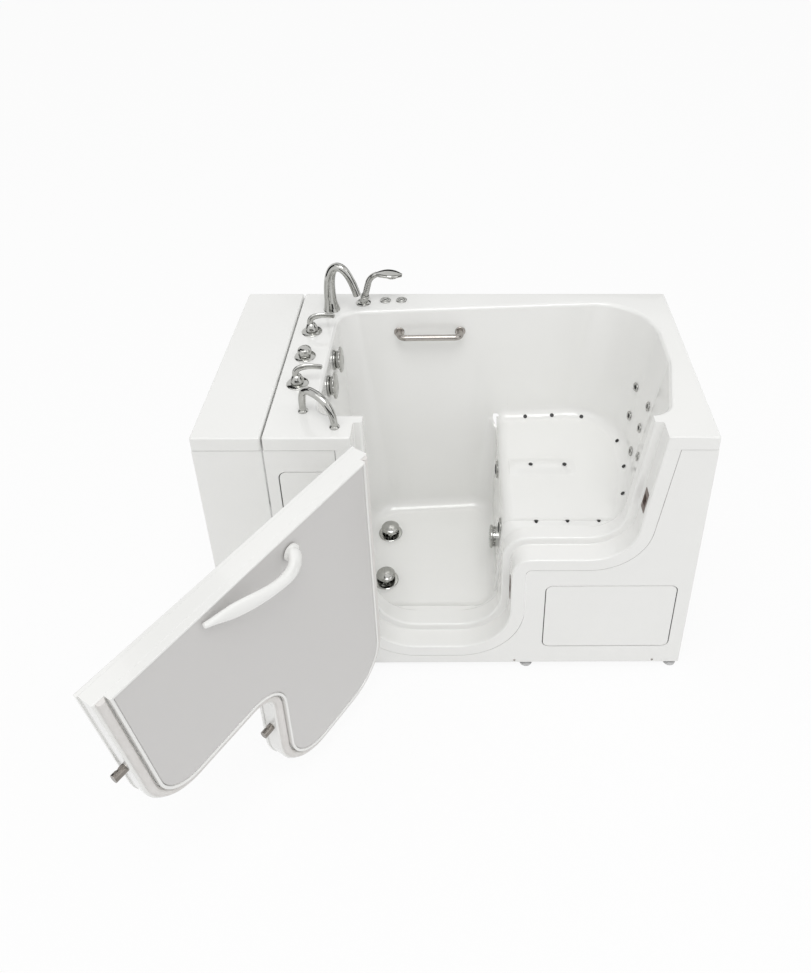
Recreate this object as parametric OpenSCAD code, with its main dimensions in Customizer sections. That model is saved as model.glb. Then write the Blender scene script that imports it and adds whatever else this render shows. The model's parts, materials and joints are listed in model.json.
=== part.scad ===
// Walk-in bathtub with an outward-swinging L-shaped door, an end extension,
// deck-mounted taps, water and air jets, and the frame that carries it.
// Lengths are in millimetres. X runs along the tub, Y from front to back, Z up.
// The origin is on the floor under the middle levelling foot.

/* [Overall] */
// Length over the tub and its end extension
overall_l = 1524; // [1460:1:1640]
// Depth from front to back
overall_d = 813; // [790:1:860]
// Height of the deck above the floor
deck_h = 1016; // [980:1:1060]
// Length of the end extension
ext_l = 203; // [150:1:230]
// Height of the turned-down lip round the deck
lip_h = 46; // [35:1:60]
// Thickness of the moulded shell
shell_t = 7; // [5:0.5:9]
// Thickness of the removable outer panels
panel_t = 5; // [3:0.5:7]
// Gap between neighbouring outer panels
seam = 3; // [1.5:0.5:5]

/* [Doorway] */
// Left edge of the doorway from the left end
jamb_x = 459; // [450:1:475]
// Width of the tub beside the doorway's free edge at the deck
door_right = 151; // [140:1:170]
// Width of the doorway beside the seat
leg_w = 478; // [460:1:490]
// Height of the doorway's lower edge above the floor
threshold_h = 103; // [95:1:112]
// Height of the doorway's edge below the seat
sill_h = 516; // [490:1:530]
// Radius of the doorway's two lower corners
leg_r = 170; // [140:1:200]
// Radius of the corner at the front of the seat
nose_r = 65; // [55:1:80]
// Radius of the corner beside the backrest
hip_r = 144; // [110:1:170]
// Lean of the doorway's free edge from upright, in degrees
edge_lean = 7; // [4:0.5:9]
// Width of the flat band round the doorway
band_w = 46; // [38:1:50]
// Depth of the rebate that the door closes into
rebate_d = 70; // [66:1:80]
// Width of the sealing land at the back of the rebate
land_w = 27; // [22:1:32]

/* [Basin] */
// Width of the deck beside the taps
deck_left = 142; // [130:1:150]
// Width of the deck beside the backrest
deck_right = 71; // [60:1:85]
// Width of the deck behind the basin at its left end
deck_back_left = 126; // [110:1:140]
// Width of the deck behind the basin at its right end
deck_back_right = 70; // [60:1:90]
// Width of the deck in front of the basin
deck_front = 110; // [104:1:120]
// Height of the seat
seat_h = 540; // [525:1:545]
// Height of the footwell floor
floor_h = 120; // [112:1:124]
// Slope of the footwell's end wall, in degrees
foot_slope = 4.5; // [3:0.1:6]
// Slope of the backrest, in degrees
rest_slope = 10; // [7:0.5:12]
// Slope of the back wall, in degrees
back_slope = 3.5; // [2:0.5:5]
// Slope of the front wall, in degrees
front_slope = 1.5; // [1:0.5:2.5]
// Radius where the floor and the seat meet the walls
cove_r = 42; // [30:1:46]
// Radius of the seat's front edge
seat_edge_r = 40; // [25:1:45]
// Height of the low ridge along the middle of the seat
ridge_h = 12; // [8:1:18]

/* [Door] */
// Gap between the door's outer skin and the doorway
door_gap = 5; // [4:0.5:6]
// Extra gap round the door's core, so that its edge swings clear
core_gap = 3; // [3:0.5:5]
// Thickness of the door's outer skin
skin_t = 12; // [8:1:16]
// Thickness of the door's core
core_t = 45; // [38:1:48]
// Height of the raised rim on the door's inner face
rim_h = 18; // [14:1:22]
// Width of the raised rim
rim_w = 12; // [8:1:18]
// Width of the door seal
seal_w = 20; // [14:1:21]
// Angle by which the door stands open
open_angle = 122.3; // [90:0.1:170]
// Distance of the hinge pins in front of the tub
pin_y = 17; // [15:0.5:22]
// Distance of the hinge pins left of the doorway
pin_x = 2; // [1:0.5:5]
// Radius of the hinge pins
pin_r = 4; // [3:0.5:5]
// Radius of the hinge knuckles
knuckle_r = 9; // [8:0.5:11]
// Height of each hinge knuckle
knuckle_h = 26; // [20:1:32]
// Height of the lower hinge above the floor
low_hinge_z = 330; // [280:1:400]
// Height of the upper hinge above the floor
high_hinge_z = 850; // [780:1:900]

/* [Latch] */
// Diameter of the latch bolts
bolt_d = 22; // [16:1:26]
// How far the latch bolts stand out of the door
bolt_out = 32; // [24:1:36]
// Height of the upper latch bolt
high_bolt_z = 740; // [700:1:780]
// Height of the lower latch bolt
low_bolt_z = 357; // [330:1:390]
// Distance of the bolts' centreline behind the door's outer face
bolt_y = 35; // [30:1:38]
// Distance of the door handle's pivot from the hinge side of the door
handle_x = 345; // [320:1:380]
// Depth of the door handle's pivot below the deck
handle_drop = 60; // [50:1:80]
// Length of the door handle
handle_l = 285; // [240:1:310]

/* [Taps] */
// Distance of the tap row from the basin's edge
tap_in = 77; // [70:1:85]
// Height of the tap row's middle along the depth of the tub
tap_mid_y = 408; // [390:1:430]
// Distance between neighbouring taps
tap_pitch = 148; // [130:1:160]
// Diameter of the tap flanges
tap_flange_d = 69; // [60:1:75]
// Diameter of the tap holes in the deck
tap_hole_d = 34; // [30:1:38]
// Diameter of the spout's foot
spout_foot_d = 58; // [52:1:64]
// Height of the spout above the deck
spout_h = 178; // [150:1:200]
// Reach of the spout
spout_reach = 105; // [90:1:125]
// Diameter of the spout's tip
spout_tip_d = 27; // [24:1:30]
// Diameter of the hand shower's deck flange
shower_flange_d = 54; // [48:1:60]
// Diameter of the control buttons
button_d = 40; // [34:1:46]
// Travel of the control buttons
button_travel = 3; // [2:0.5:4]

/* [Water fittings] */
// Outside diameter of the floor drains
drain_d = 90; // [80:1:98]
// Diameter of the drain throat
throat_d = 62; // [56:1:66]
// Diameter of the drain stoppers
stopper_d = 68; // [64:1:74]
// Lift of the drain stoppers
stopper_lift = 20; // [14:1:24]
// Distance between the two drains
drain_pitch = 228; // [200:1:250]
// Outside diameter of the overflow knobs
overflow_d = 88; // [76:1:96]
// Outside diameter of the waste pipe
waste_d = 48.3; // [40:0.1:50]
// Outside diameter of the backrest jets
back_jet_d = 34; // [28:1:40]
// Outside diameter of the footwell jets
foot_jet_d = 66; // [56:1:76]
// Outside diameter of the suction cover
suction_d = 84; // [74:1:94]
// Outside diameter of the air jets
air_jet_d = 15; // [12:1:20]
// Outside diameter of the water pipes
water_pipe_d = 40; // [32:1:48]
// Outside diameter of the air pipes
air_pipe_d = 32; // [25:1:38]

/* [Grab bars] */
// Distance between the wall bar's two flanges
bar_l = 220; // [200:1:300]
// Diameter of the wall bar
bar_d = 22; // [18:1:26]
// Stand-off of the wall bar from the wall
bar_off = 46; // [40:1:60]
// Distance between the deck handle's feet
arch_l = 127; // [115:1:135]
// Height of the deck handle
arch_h = 90; // [75:1:105]
// Diameter of the deck handle's tube
arch_d = 20; // [16:1:24]

/* [Frame] */
// Side of the square frame tubes
tube = 30; // [25:1:35]
// Wall of the frame tubes
tube_t = 2.5; // [2:0.5:4]
// Height of the base rails above the floor
rail_h = 28; // [24:1:34]
// Diameter of the levelling feet
foot_d = 44; // [36:1:55]
// Diameter of the feet's threaded studs
stud_d = 12; // [10:1:14]

/* [Hidden] */
$fn = 48;
eps = 0.01;
fit = 0.3;          // gap between pieces that only touch
run_fit = 0.05;     // radial gap of a pin in its bore
seat_gap = 0.8;     // gap between the closed seal and its land
acrylic = "white";
steel = "silver";
chrome = "gainsboro";
dark = "dimgray";

// Plan of the basin
doorway_w = overall_l - jamb_x - door_right;
basin_x = ext_l + deck_left;
basin_xr = overall_l - deck_right;
basin_yf = deck_front;
back_l = overall_d - deck_back_left;
back_r = overall_d - deck_back_right;
riser_x = jamb_x + leg_w - land_w + 2;
corner_fl = 50;
corner_bl = 75;
corner_br = 198;
corner_mr = 150;
corner_fr = 65;
corner_foot = 28;
foot_growth = 0.12;
corner_growth = 0.04;
hip_in = 43;
bulge_y = 400;
cove_steps = 5;
back_turn = atan((back_r - back_l) / (basin_xr - corner_br - basin_x - corner_bl));

// Door and hinge
face_in = skin_t + core_t;
face_y = face_in + rim_h;
rim_g = -(land_w + 10);
seal_g = rim_g + 2;
hinge_cx = jamb_x - pin_x;
hinge_cy = -pin_y;
hinge_zs = [low_hinge_z, high_hinge_z];
bolt_travel = bolt_out - core_gap - 2;
handle_cx = jamb_x + door_gap + handle_x;
handle_cz = deck_h - handle_drop;

// Fittings
tap_x = basin_x - tap_in;
hot_y = tap_mid_y - tap_pitch;
cold_y = tap_mid_y + tap_pitch;
spout_x = basin_x - 28;
spout_y = back_l + 14;
shower_x = spout_x + 107;
shower_y = spout_y + 44;
buttons = [[shower_x + 78, shower_y + 16], [shower_x + 136, shower_y + 18]];
foot_in = (deck_h - floor_h) * tan(foot_slope);
drain_x = basin_x + foot_in + cove_r + drain_d / 2;
drain_mid_y = (basin_yf + back_at(drain_x, floor_h)) / 2 + 12;
drain_ys = [drain_mid_y - drain_pitch / 2, drain_mid_y + drain_pitch / 2];
overflow_z = deck_h - 61;
overflow_ys = [tap_mid_y - 78, tap_mid_y + 67];
foot_jet_z = seat_h - 85;
foot_jets = [[202, foot_jet_z], [490, foot_jet_z]];
suction_yz = [390, floor_h + 95];
seat_l = rest_x(seat_h) - riser_x;
seat_mid_y = (basin_yf + back_at(riser_x + 188, seat_h)) / 2;
// Backrest jets by depth and by height above the seat
back_jets = [for (j = [[430, 52], [427, 159], [420, 259], [549, 116], [572, 228], [330, 115]])
    [j[0], seat_h + j[1]]];
jet_bore = back_jet_d / 2 - 5;

// Frame
rail_top = rail_h + tube;
apron_y = 2;
rail_yf = apron_y + panel_t;
rail_yb = overall_d - shell_t - 6 - tube;
cross_xs = [ext_l + 22, jamb_x + 131, overall_l / 2 - tube / 2, overall_l - 344, overall_l - 45 - tube];
stand_ys = [basin_yf + 40, overall_d - 173];
post_top = deck_h - shell_t;

// ---- Helpers ----
module tub() {
    translate([-overall_l / 2, -overall_d / 2, 0]) children();
}

module along_y(y0, y1) {
    translate([0, y1, 0]) rotate([90, 0, 0]) linear_extrude(y1 - y0) children();
}

module box(p, q) {
    translate(p) cube(q - p);
}

function unit(v) = v / norm(v);
function ahead(p, i) = unit(p[(i + 1) % len(p)] - p[i]);
function behind(p, i) = unit(p[i] - p[(i + len(p) - 1) % len(p)]);
function turned(v, a) = [v[0] * cos(a) - v[1] * sin(a), v[0] * sin(a) + v[1] * cos(a)];

// A counter-clockwise outline moved outwards by g
function grown(p, g) = [for (i = [0 : len(p) - 1])
    let(a = behind(p, i), b = ahead(p, i), na = [a[1], -a[0]], nb = [b[1], -b[0]])
    p[i] + g * (na + nb) / (1 + na * nb)];

// An outline with each corner rounded to its own radius
function rounded(p, r, steps = 8) = [for (i = [0 : len(p) - 1])
    let(a = behind(p, i), b = ahead(p, i), turn = atan2(a[0] * b[1] - a[1] * b[0], a * b),
        side = turn > 0 ? 1 : -1, in_dir = side * [-a[1], a[0]],
        c = p[i] - a * r[i] * tan(abs(turn) / 2) + r[i] * in_dir)
    each (r[i] < eps ? [p[i]] : [for (k = [0 : steps]) c - r[i] * turned(in_dir, turn * k / steps)])];

function rect(x0, y0, x1, y1, r) = rounded([[x0, y0], [x1, y0], [x1, y1], [x0, y1]], [r, r, r, r], 4);

// Outline of the doorway in X and Z, grown by g and open up to a height of top
function edge_x(z) = jamb_x + doorway_w - (deck_h - z) * tan(edge_lean);
function doorway(g, top) = rounded(
    grown([[jamb_x, threshold_h], [jamb_x + leg_w, threshold_h], [jamb_x + leg_w, sill_h],
           [edge_x(sill_h), sill_h], [edge_x(top - g), top - g], [jamb_x, top - g]], g),
    [leg_r + g, leg_r + g, nose_r - g, hip_r + g, 0, 0]);

module doorway_block(y0, y1, g, top = deck_h) {
    along_y(y0, y1) polygon(doorway(g, top));
}

// Surfaces of the basin's walls
function back_at(x, z) = back_l + (x - basin_x - corner_bl) * tan(back_turn)
    - (deck_h - z) * tan(back_slope);
function in_back(x, r, z) = [x, back_at(x, z) - r / cos(back_turn), r];
function rest_x(z) = basin_xr - (deck_h - z) * tan(rest_slope);
function rest_back_y(z) = in_back(rest_x(z) - corner_br, corner_br, z)[1];
function hip_turn(z) = let(v = [corner_mr - hip_in - corner_fr,
        basin_yf + (deck_h - z) * tan(front_slope) + corner_fr - bulge_y])
    atan2(v[1], v[0]) + acos((corner_mr - corner_fr) / norm(v));
function rest_turn(y, z) = y > rest_back_y(z) ? asin((y - rest_back_y(z)) / corner_br)
    : y > bulge_y ? 0 : max(hip_turn(z), -asin(min(1, (bulge_y - y) / corner_mr)));
function rest_at(y, z) = let(a = rest_turn(y, z))
    y > rest_back_y(z) ? rest_x(z) - corner_br * (1 - cos(a))
    : rest_x(z) - corner_mr + (corner_mr - min(0, y - bulge_y) * sin(a)) / cos(a);
function riser_at(z) = riser_x - (seat_h - z) * tan(front_slope);

function left_front(l, y, r) = [basin_x + l + r, y + r, r];
function seat_ring(z) = let(d = deck_h - z, l = d * tan(foot_slope), f = d * tan(front_slope))
    [left_front(l, basin_yf + f, corner_fl + d * corner_growth),
     in_back(basin_x + l + corner_bl + d * corner_growth, corner_bl + d * corner_growth, z),
     in_back(rest_x(z) - corner_br, corner_br, z),
     [rest_x(z) - corner_mr, bulge_y, corner_mr],
     [rest_x(z) - hip_in - corner_fr, basin_yf + f + corner_fr, corner_fr]];

function foot_ring(z) = let(d = deck_h - z, l = d * tan(foot_slope), f = d * tan(front_slope),
    rf = corner_foot + max(0, seat_h - z) * foot_growth)
    [left_front(l, basin_yf + f, corner_fl + d * corner_growth),
     in_back(basin_x + l + corner_bl + d * corner_growth, corner_bl + d * corner_growth, z),
     in_back(riser_at(z) - rf, rf, z),
     [riser_at(z) - rf, basin_yf + f + rf, rf]];

module slice(ring, z, g) {
    for (c = ring) translate([c[0], c[1], z]) cylinder(r = c[2] + g, h = eps);
}

module seat_form(g, low, high) {
    hull() {
        for (k = [0 : cove_steps]) let(a = 90 * k / cove_steps, z = low + cove_r * (1 - cos(a)))
            slice(seat_ring(z), z, g - cove_r * (1 - sin(a)));
        slice(seat_ring(high), high, g);
    }
}

module foot_form(g, low, high) {
    hull() {
        for (k = [0 : cove_steps]) let(a = 90 * k / cove_steps, z = low + cove_r * (1 - cos(a)))
            slice(foot_ring(z), z, g - cove_r * (1 - sin(a)));
        slice(foot_ring(high), high, g);
    }
}

// Children set on a wall: their Z points into the basin
module on_end_wall(y, z) {
    translate([basin_x + (deck_h - z) * tan(foot_slope), y, z]) rotate([0, 90 - foot_slope, 0]) children();
}

module on_rest(y, z) {
    translate([rest_at(y, z), y, z]) rotate([0, 0, rest_turn(y, z)])
        rotate([0, rest_slope - 90, 0]) children();
}

module on_riser(y, z) {
    translate([riser_at(z), y, z]) rotate([0, front_slope - 90, 0]) children();
}

module on_back_wall(x, z) {
    translate([x, back_at(x, z), z])
        rotate([90 - back_slope, 0, back_turn]) children();
}

// Air jets sit in the coves round the seat and on its ridge
cove_tilt = 35;
air_stem = 20;
cove_z = seat_h + cove_r * (1 - cos(cove_tilt));
front_cove_y = basin_yf + (deck_h - cove_z) * tan(front_slope) + cove_r;
ridge_l = seat_l - 222;
row_in = 110;
row_pitch = (seat_l - row_in - 142) / 2;
air_rows = [for (i = [0 : 2]) riser_x + row_in + i * row_pitch];
mid_jets = [air_rows[0], riser_x + seat_edge_r + ridge_l - 45];
rest_c = [rest_x(cove_z) - corner_mr, bulge_y];
corner_c = in_back(rest_x(cove_z) - corner_br, corner_br, cove_z);
in_mr = corner_mr - cove_r;
in_br = corner_br - cove_r;
hip_a = hip_turn(cove_z);
hip_down = 110;
// Centre of the cove at each jet, and the direction in plan in which it faces its wall
function back_cove(x) = x < corner_c[0]
    ? [x, back_at(x, cove_z) - cove_r / cos(back_turn), 90 + back_turn]
    : let(a = acos((x - corner_c[0]) / in_br)) [x, corner_c[1] + in_br * sin(a), a];
coves = concat([for (x = air_rows) [x, front_cove_y, -90]], [for (x = air_rows) back_cove(x)],
    [[rest_c[0] + in_mr, rest_c[1], 0],
     let(a = asin((bulge_y + 134 - corner_c[1]) / in_br)) [corner_c[0] + in_br * cos(a), bulge_y + 134, a],
     [rest_c[0] + in_mr * cos(hip_a) + hip_down * sin(hip_a),
      rest_c[1] + in_mr * sin(hip_a) - hip_down * cos(hip_a), hip_a]]);
module air_places() {
    for (c = coves) translate([c[0], c[1], seat_h + cove_r]) rotate([0, -cove_tilt, c[2]])
        translate([0, 0, -cove_r]) children();
    for (x = mid_jets) translate([x, seat_mid_y, seat_h + ridge_h]) children();
}

// A tube or tapered bar along a path, with an elliptical section
function tangent(p, i) = unit(p[min(i + 1, len(p) - 1)] - p[max(i - 1, 0)]);
function bez(a, b, c, d, t) = pow(1 - t, 3) * a + 3 * pow(1 - t, 2) * t * b
    + 3 * (1 - t) * t * t * c + t * t * t * d;
function curve(a, b, c, d, n) = [for (i = [0 : n]) bez(a, b, c, d, i / n)];

module sweep(path, wide, tall, up = [0, 1, 0], sides = 14) {
    n = len(path);
    pts = [for (i = [0 : n - 1]) let(t = tangent(path, i), e1 = unit(cross(up, t)), e2 = cross(t, e1))
        for (j = [0 : sides - 1]) let(a = 360 * j / sides)
            path[i] + wide[i] * cos(a) * e1 + tall[i] * sin(a) * e2];
    skin = [for (i = [0 : n - 2]) for (j = [0 : sides - 1])
        let(p = i * sides + j, q = i * sides + (j + 1) % sides)
        each [[p, p + sides, q + sides], [p, q + sides, q]]];
    first = [for (j = [1 : sides - 2]) [0, j, j + 1]];
    last = [for (j = [1 : sides - 2]) let(o = (n - 1) * sides) [o, o + j + 1, o + j]];
    polyhedron(points = pts, faces = concat(skin, first, last));
}

// Straight pipes between points, with a round elbow at each bend
elbow = 1.15;
module pipe_run(p, d) {
    for (i = [0 : len(p) - 2]) let(v = p[i + 1] - p[i])
        translate(p[i]) rotate([0, acos(v[2] / norm(v)), atan2(v[1], v[0])]) {
            cylinder(d = d, h = norm(v));
            if (i > 0) sphere(d = d * elbow);
        }
}

// ---- Tub ----
module deck_plate() {
    outline = rect(ext_l + seam, 0, overall_l, overall_d, 8);
    inner = rect(ext_l + seam + shell_t, shell_t, overall_l - shell_t, overall_d - shell_t, 3);
    translate([0, 0, deck_h - shell_t]) linear_extrude(shell_t) polygon(outline);
    translate([0, 0, deck_h - lip_h]) linear_extrude(lip_h - eps) difference() {
        polygon(outline);
        polygon(inner);
    }
}

module doorway_frame() {
    doorway_block(0, shell_t, band_w);
    doorway_block(0, rebate_d + shell_t, shell_t);
    doorway_block(rebate_d, basin_yf + 24, shell_t - land_w);
}

module doorway_cut() {
    doorway_block(-1, rebate_d, 0, deck_h + 1);
    doorway_block(-1, basin_yf + 30, -land_w, deck_h + 1);
}

seat_edge_l = back_at(riser_x, seat_h) - basin_yf;
module seat_edge_fill() {
    side = seat_edge_r + shell_t;
    translate([riser_x, basin_yf, seat_h - side]) cube([side, seat_edge_l + 3, side - eps]);
}

module seat_edge_cut() {
    difference() {
        translate([riser_x - 3, basin_yf - 5, seat_h - seat_edge_r])
            cube([seat_edge_r + 3, seat_edge_l + 5, seat_edge_r + 5]);
        translate([riser_x + seat_edge_r, basin_yf - 6, seat_h - seat_edge_r]) rotate([-90, 0, 0])
            cylinder(r = seat_edge_r, h = seat_edge_l + 10);
    }
}

ridge_r = 90;
module seat_ridge() {
    intersection() {
        union() {
            translate([riser_x + seat_edge_r, seat_mid_y, seat_h + ridge_h - ridge_r]) rotate([0, 90, 0])
                cylinder(r = ridge_r, h = ridge_l);
            translate([riser_x + seat_edge_r + ridge_l, seat_mid_y, seat_h + ridge_h - ridge_r])
                sphere(r = ridge_r);
        }
        translate([riser_x + seat_edge_r, seat_mid_y - ridge_r, seat_h - 3])
            cube([400, 2 * ridge_r, ridge_h + 10]);
    }
}

module shell_holes() {
    for (y = [cold_y, tap_mid_y, hot_y]) translate([tap_x, y, deck_h - 20])
        cylinder(d = tap_hole_d, h = 40);
    translate([spout_x, spout_y, deck_h - 20]) cylinder(d = tap_hole_d, h = 40);
    translate([shower_x, shower_y, deck_h - 20]) cylinder(d = 30, h = 40);
    for (b = buttons) translate([b[0], b[1], deck_h - 20]) cylinder(d = button_d - 10, h = 40);
    for (y = drain_ys) translate([drain_x, y, floor_h - 30]) cylinder(d = throat_d + 6, h = 50);
    for (y = overflow_ys) on_end_wall(y, overflow_z) translate([0, 0, -30]) cylinder(d = 50, h = 60);
    for (j = foot_jets) on_riser(j[0], j[1]) translate([0, 0, -30]) cylinder(d = foot_jet_d - 16, h = 60);
    on_riser(suction_yz[0], suction_yz[1]) translate([0, 0, -30]) cylinder(d = suction_d - 20, h = 60);
    for (j = back_jets) on_rest(j[0], j[1]) translate([0, 0, -30]) cylinder(r = jet_bore + fit, h = 60);
    air_places() translate([0, 0, -air_stem - 4]) cylinder(d = air_jet_d - 4, h = air_stem + 12);
    for (s = strikes) strike_place(s) box([-8, -strike_box_y - fit, -strike_box_z - fit],
        [20, strike_box_y + fit, strike_box_z + fit]);
    for (s = [[arch_a[0], arch_a[1]], [arch_b[0], arch_b[1]]]) translate([s[0], s[1], deck_h - 20])
        cylinder(d = 9, h = 30);
    for (x = bar_xs) on_back_wall(x, bar_z) translate([0, 0, -20]) cylinder(d = 9, h = 30);
}

module basin_shell() {
    color(acrylic) tub() {
        difference() {
            union() {
                difference() {
                    union() {
                        deck_plate();
                        seat_form(shell_t, seat_h - shell_t, deck_h - 1);
                        foot_form(shell_t + fit, floor_h - shell_t, seat_h + 80);
                        doorway_frame();
                        seat_edge_fill();
                    }
                    seat_form(0, seat_h, deck_h + 1);
                    foot_form(fit, floor_h, seat_h + 78);
                    doorway_cut();
                    seat_edge_cut();
                }
                seat_ridge();
            }
            shell_holes();
        }
    }
}

// ---- Outer panels ----
panel_r = [jamb_x + leg_w + 112, threshold_h - 2, overall_l - 45, sill_h - 117];
panel_l = [ext_l + 37, deck_h - 458, jamb_x - 67, deck_h - 128];
module apron_outline() {
    difference() {
        translate([ext_l + seam, rail_h - 8])
            square([overall_l - ext_l - seam, deck_h - lip_h - 2 - rail_h + 8]);
        polygon(doorway(band_w + 1.5, deck_h + 10));
        for (p = [panel_l, panel_r]) polygon(rect(p[0], p[1], p[2], p[3], 25));
    }
}

module front_apron() {
    color(acrylic) tub() {
        along_y(apron_y, apron_y + panel_t) apron_outline();
        box([overall_l - panel_t, apron_y + panel_t, rail_h - 8],
            [overall_l, apron_y + 30, deck_h - lip_h - 2]);
    }
}

module access_panel(p) {
    along_y(apron_y, apron_y + panel_t)
        polygon(rect(p[0] + seam, p[1] + seam, p[2] - seam, p[3] - seam, 25 - seam));
    along_y(apron_y + panel_t, apron_y + panel_t + 3)
        polygon(rect(p[0] - 4, p[1] + 12, p[2] + 4, p[3] - 12, 8));
}

module left_access_panel() {
    color(acrylic) tub() access_panel(panel_l);
}

module right_access_panel() {
    color(acrylic) tub() access_panel(panel_r);
}

screw_xs = [ext_l + 117, jamb_x + leg_w + 22, overall_l - 91];
module apron_screws() {
    color(steel) tub() for (x = screw_xs) {
        translate([x, apron_y, rail_h + 2]) rotate([90, 0, 0]) cylinder(d1 = 9, d2 = 6, h = 2.2);
    }
}

module extension_top() {
    outline = rect(0, 0, ext_l - seam / 2, overall_d, 8);
    inner = rect(shell_t, shell_t, ext_l - seam / 2 - shell_t, overall_d - shell_t, 3);
    color(acrylic) tub() difference() {
        translate([0, 0, deck_h - lip_h]) linear_extrude(lip_h) polygon(outline);
        translate([0, 0, deck_h - lip_h - 1]) linear_extrude(lip_h - shell_t + 1) polygon(inner);
    }
}

module extension_front() {
    color(acrylic) tub() difference() {
        box([0, apron_y, rail_h - 8], [ext_l - seam / 2, apron_y + 30, deck_h - lip_h - 2]);
        box([panel_t, apron_y + panel_t, rail_h - 9], [ext_l, apron_y + 31, deck_h]);
    }
}

module extension_end() {
    color(acrylic) tub() difference() {
        box([0, apron_y + 30 + seam, rail_h - 8], [25, overall_d - apron_y, deck_h - lip_h - 2]);
        box([panel_t, apron_y, rail_h - 9], [26, overall_d - apron_y - panel_t, deck_h]);
    }
}

// ---- Frame ----
module tube_x(x0, x1, y, z) {
    difference() {
        box([x0, y, z], [x1, y + tube, z + tube]);
        box([x0 - 1, y + tube_t, z + tube_t], [x1 + 1, y + tube - tube_t, z + tube - tube_t]);
    }
}

module tube_y(y0, y1, x, z) {
    difference() {
        box([x, y0, z], [x + tube, y1, z + tube]);
        box([x + tube_t, y0 - 1, z + tube_t], [x + tube - tube_t, y1 + 1, z + tube - tube_t]);
    }
}

module tube_z(x, y, z0, z1) {
    difference() {
        box([x, y, z0], [x + tube, y + tube, z1]);
        box([x + tube_t, y + tube_t, z0 - 1], [x + tube - tube_t, y + tube - tube_t, z1 + 1]);
    }
}

module base_frame() {
    color(steel) tub() {
        for (y = [rail_yf, rail_yb]) tube_x(panel_t, overall_l - 10, y, rail_h);
        for (x = cross_xs) tube_y(rail_yf + tube, rail_yb, x, rail_h);
    }
}

hinge_post_x = jamb_x - shell_t - fit - tube;
right_post_x = overall_l - shell_t - 3.5 - tube;
module posts() {
    color(steel) tub() {
        tube_z(hinge_post_x, rail_yf, rail_top, post_top);
        tube_z(right_post_x, rail_yf, rail_top, post_top);
        tube_z(hinge_post_x, rail_yb, rail_top, post_top);
        tube_z(right_post_x, rail_yb, rail_top, post_top);
        for (y = [rail_yf, rail_yb]) tube_z(10, y, rail_top, post_top);
    }
}

seat_under = seat_h - shell_t;
module seat_stand() {
    color(steel) tub() {
        tube_y(stand_ys[0], stand_ys[1], cross_xs[3], seat_under - tube);
        for (y = [stand_ys[0], stand_ys[1] - tube]) tube_z(cross_xs[3], y, rail_top, seat_under - tube);
    }
}

block_h = floor_h - shell_t - rail_top;
module floor_blocks() {
    color("burlywood") tub() for (y = [basin_yf + 70, overall_d - 253]) for (x = [cross_xs[1], cross_xs[2]])
        box([x, y, rail_top], [x + tube, y + 60, rail_top + block_h]);
}

module foot(x, y) {
    translate([x, y, 0]) {
        rotate_extrude() polygon([[0, 0], [foot_d / 2, 0], [foot_d / 2, 4], [stud_d / 2 + 3, 9],
                                  [stud_d / 2 + 3, 11], [0, 11]]);
        translate([0, 0, 11 - eps]) cylinder(d = stud_d, h = rail_h - 11 + eps);
        translate([0, 0, rail_h - 8]) cylinder(d = stud_d * 1.9, h = 7.9, $fn = 6);
    }
}

foot_xs = [40, hinge_post_x + tube / 2, riser_x + 88, right_post_x + tube / 2];
module levelling_feet() {
    color(dark) tub() {
        for (x = foot_xs) for (y = [rail_yf + tube / 2, rail_yb + tube / 2]) foot(x, y);
        foot(overall_l / 2, overall_d / 2);
    }
}

// ---- Door ----
module door_pose() {
    tub() translate([hinge_cx, hinge_cy, 0]) rotate([0, 0, -open_angle])
        translate([-hinge_cx, -hinge_cy, 0]) children();
}

module door_skin() {
    color(acrylic) door_pose() difference() {
        doorway_block(0, skin_t, -door_gap);
    }
}

core_g = -door_gap - core_gap;
module bolt_place(b) {
    translate([b[0], bolt_y, b[1]]) rotate([0, 90, 0]) children();
}

high_edge = edge_x(high_bolt_z) + core_g / cos(edge_lean);
low_edge = jamb_x + leg_w + core_g;
bolts = [[high_edge, high_bolt_z], [low_edge, low_bolt_z]];
bolt_shank = 60;
rod_d = 8;
crank_turn = 60;
crank_r = bolt_travel / 2 / sin(crank_turn / 2);
pin_place = crank_r * [sin(crank_turn / 2), -cos(crank_turn / 2)];
bar_x = handle_cx + pin_place[0];
bar_w = 26;
bar_ys = [bolt_y - 4, bolt_y + 4];
disc_ys = [skin_t + 8, bar_ys[0] - 1];
bar_zs = [low_bolt_z - 13, handle_cz + pin_place[1] + rod_d / 2 + 5];
core_wall = 6;
guide_l = bolt_shank + bolt_travel + 2;
bar_space = [[bar_x - bar_w / 2 - bolt_travel - 1.5, bar_zs[0] - 2], [bar_x + bar_w / 2 + 1.5, handle_cz]];

// The core is a tray, open towards the outer skin, with guides for the latch
module latch_guides() {
    for (b = bolts) bolt_place(b) translate([0, 0, -guide_l - core_wall])
        cylinder(d = bolt_d + 2 * core_wall, h = guide_l + 40);
    box([bar_space[0][0] - core_wall, skin_t, bar_space[0][1] - core_wall],
        [bar_space[1][0] + core_wall, face_in, bar_space[1][1]]);
    translate([handle_cx, skin_t, handle_cz]) rotate([-90, 0, 0])
        cylinder(r = crank_r + 10 + core_wall, h = core_t);
}

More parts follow.
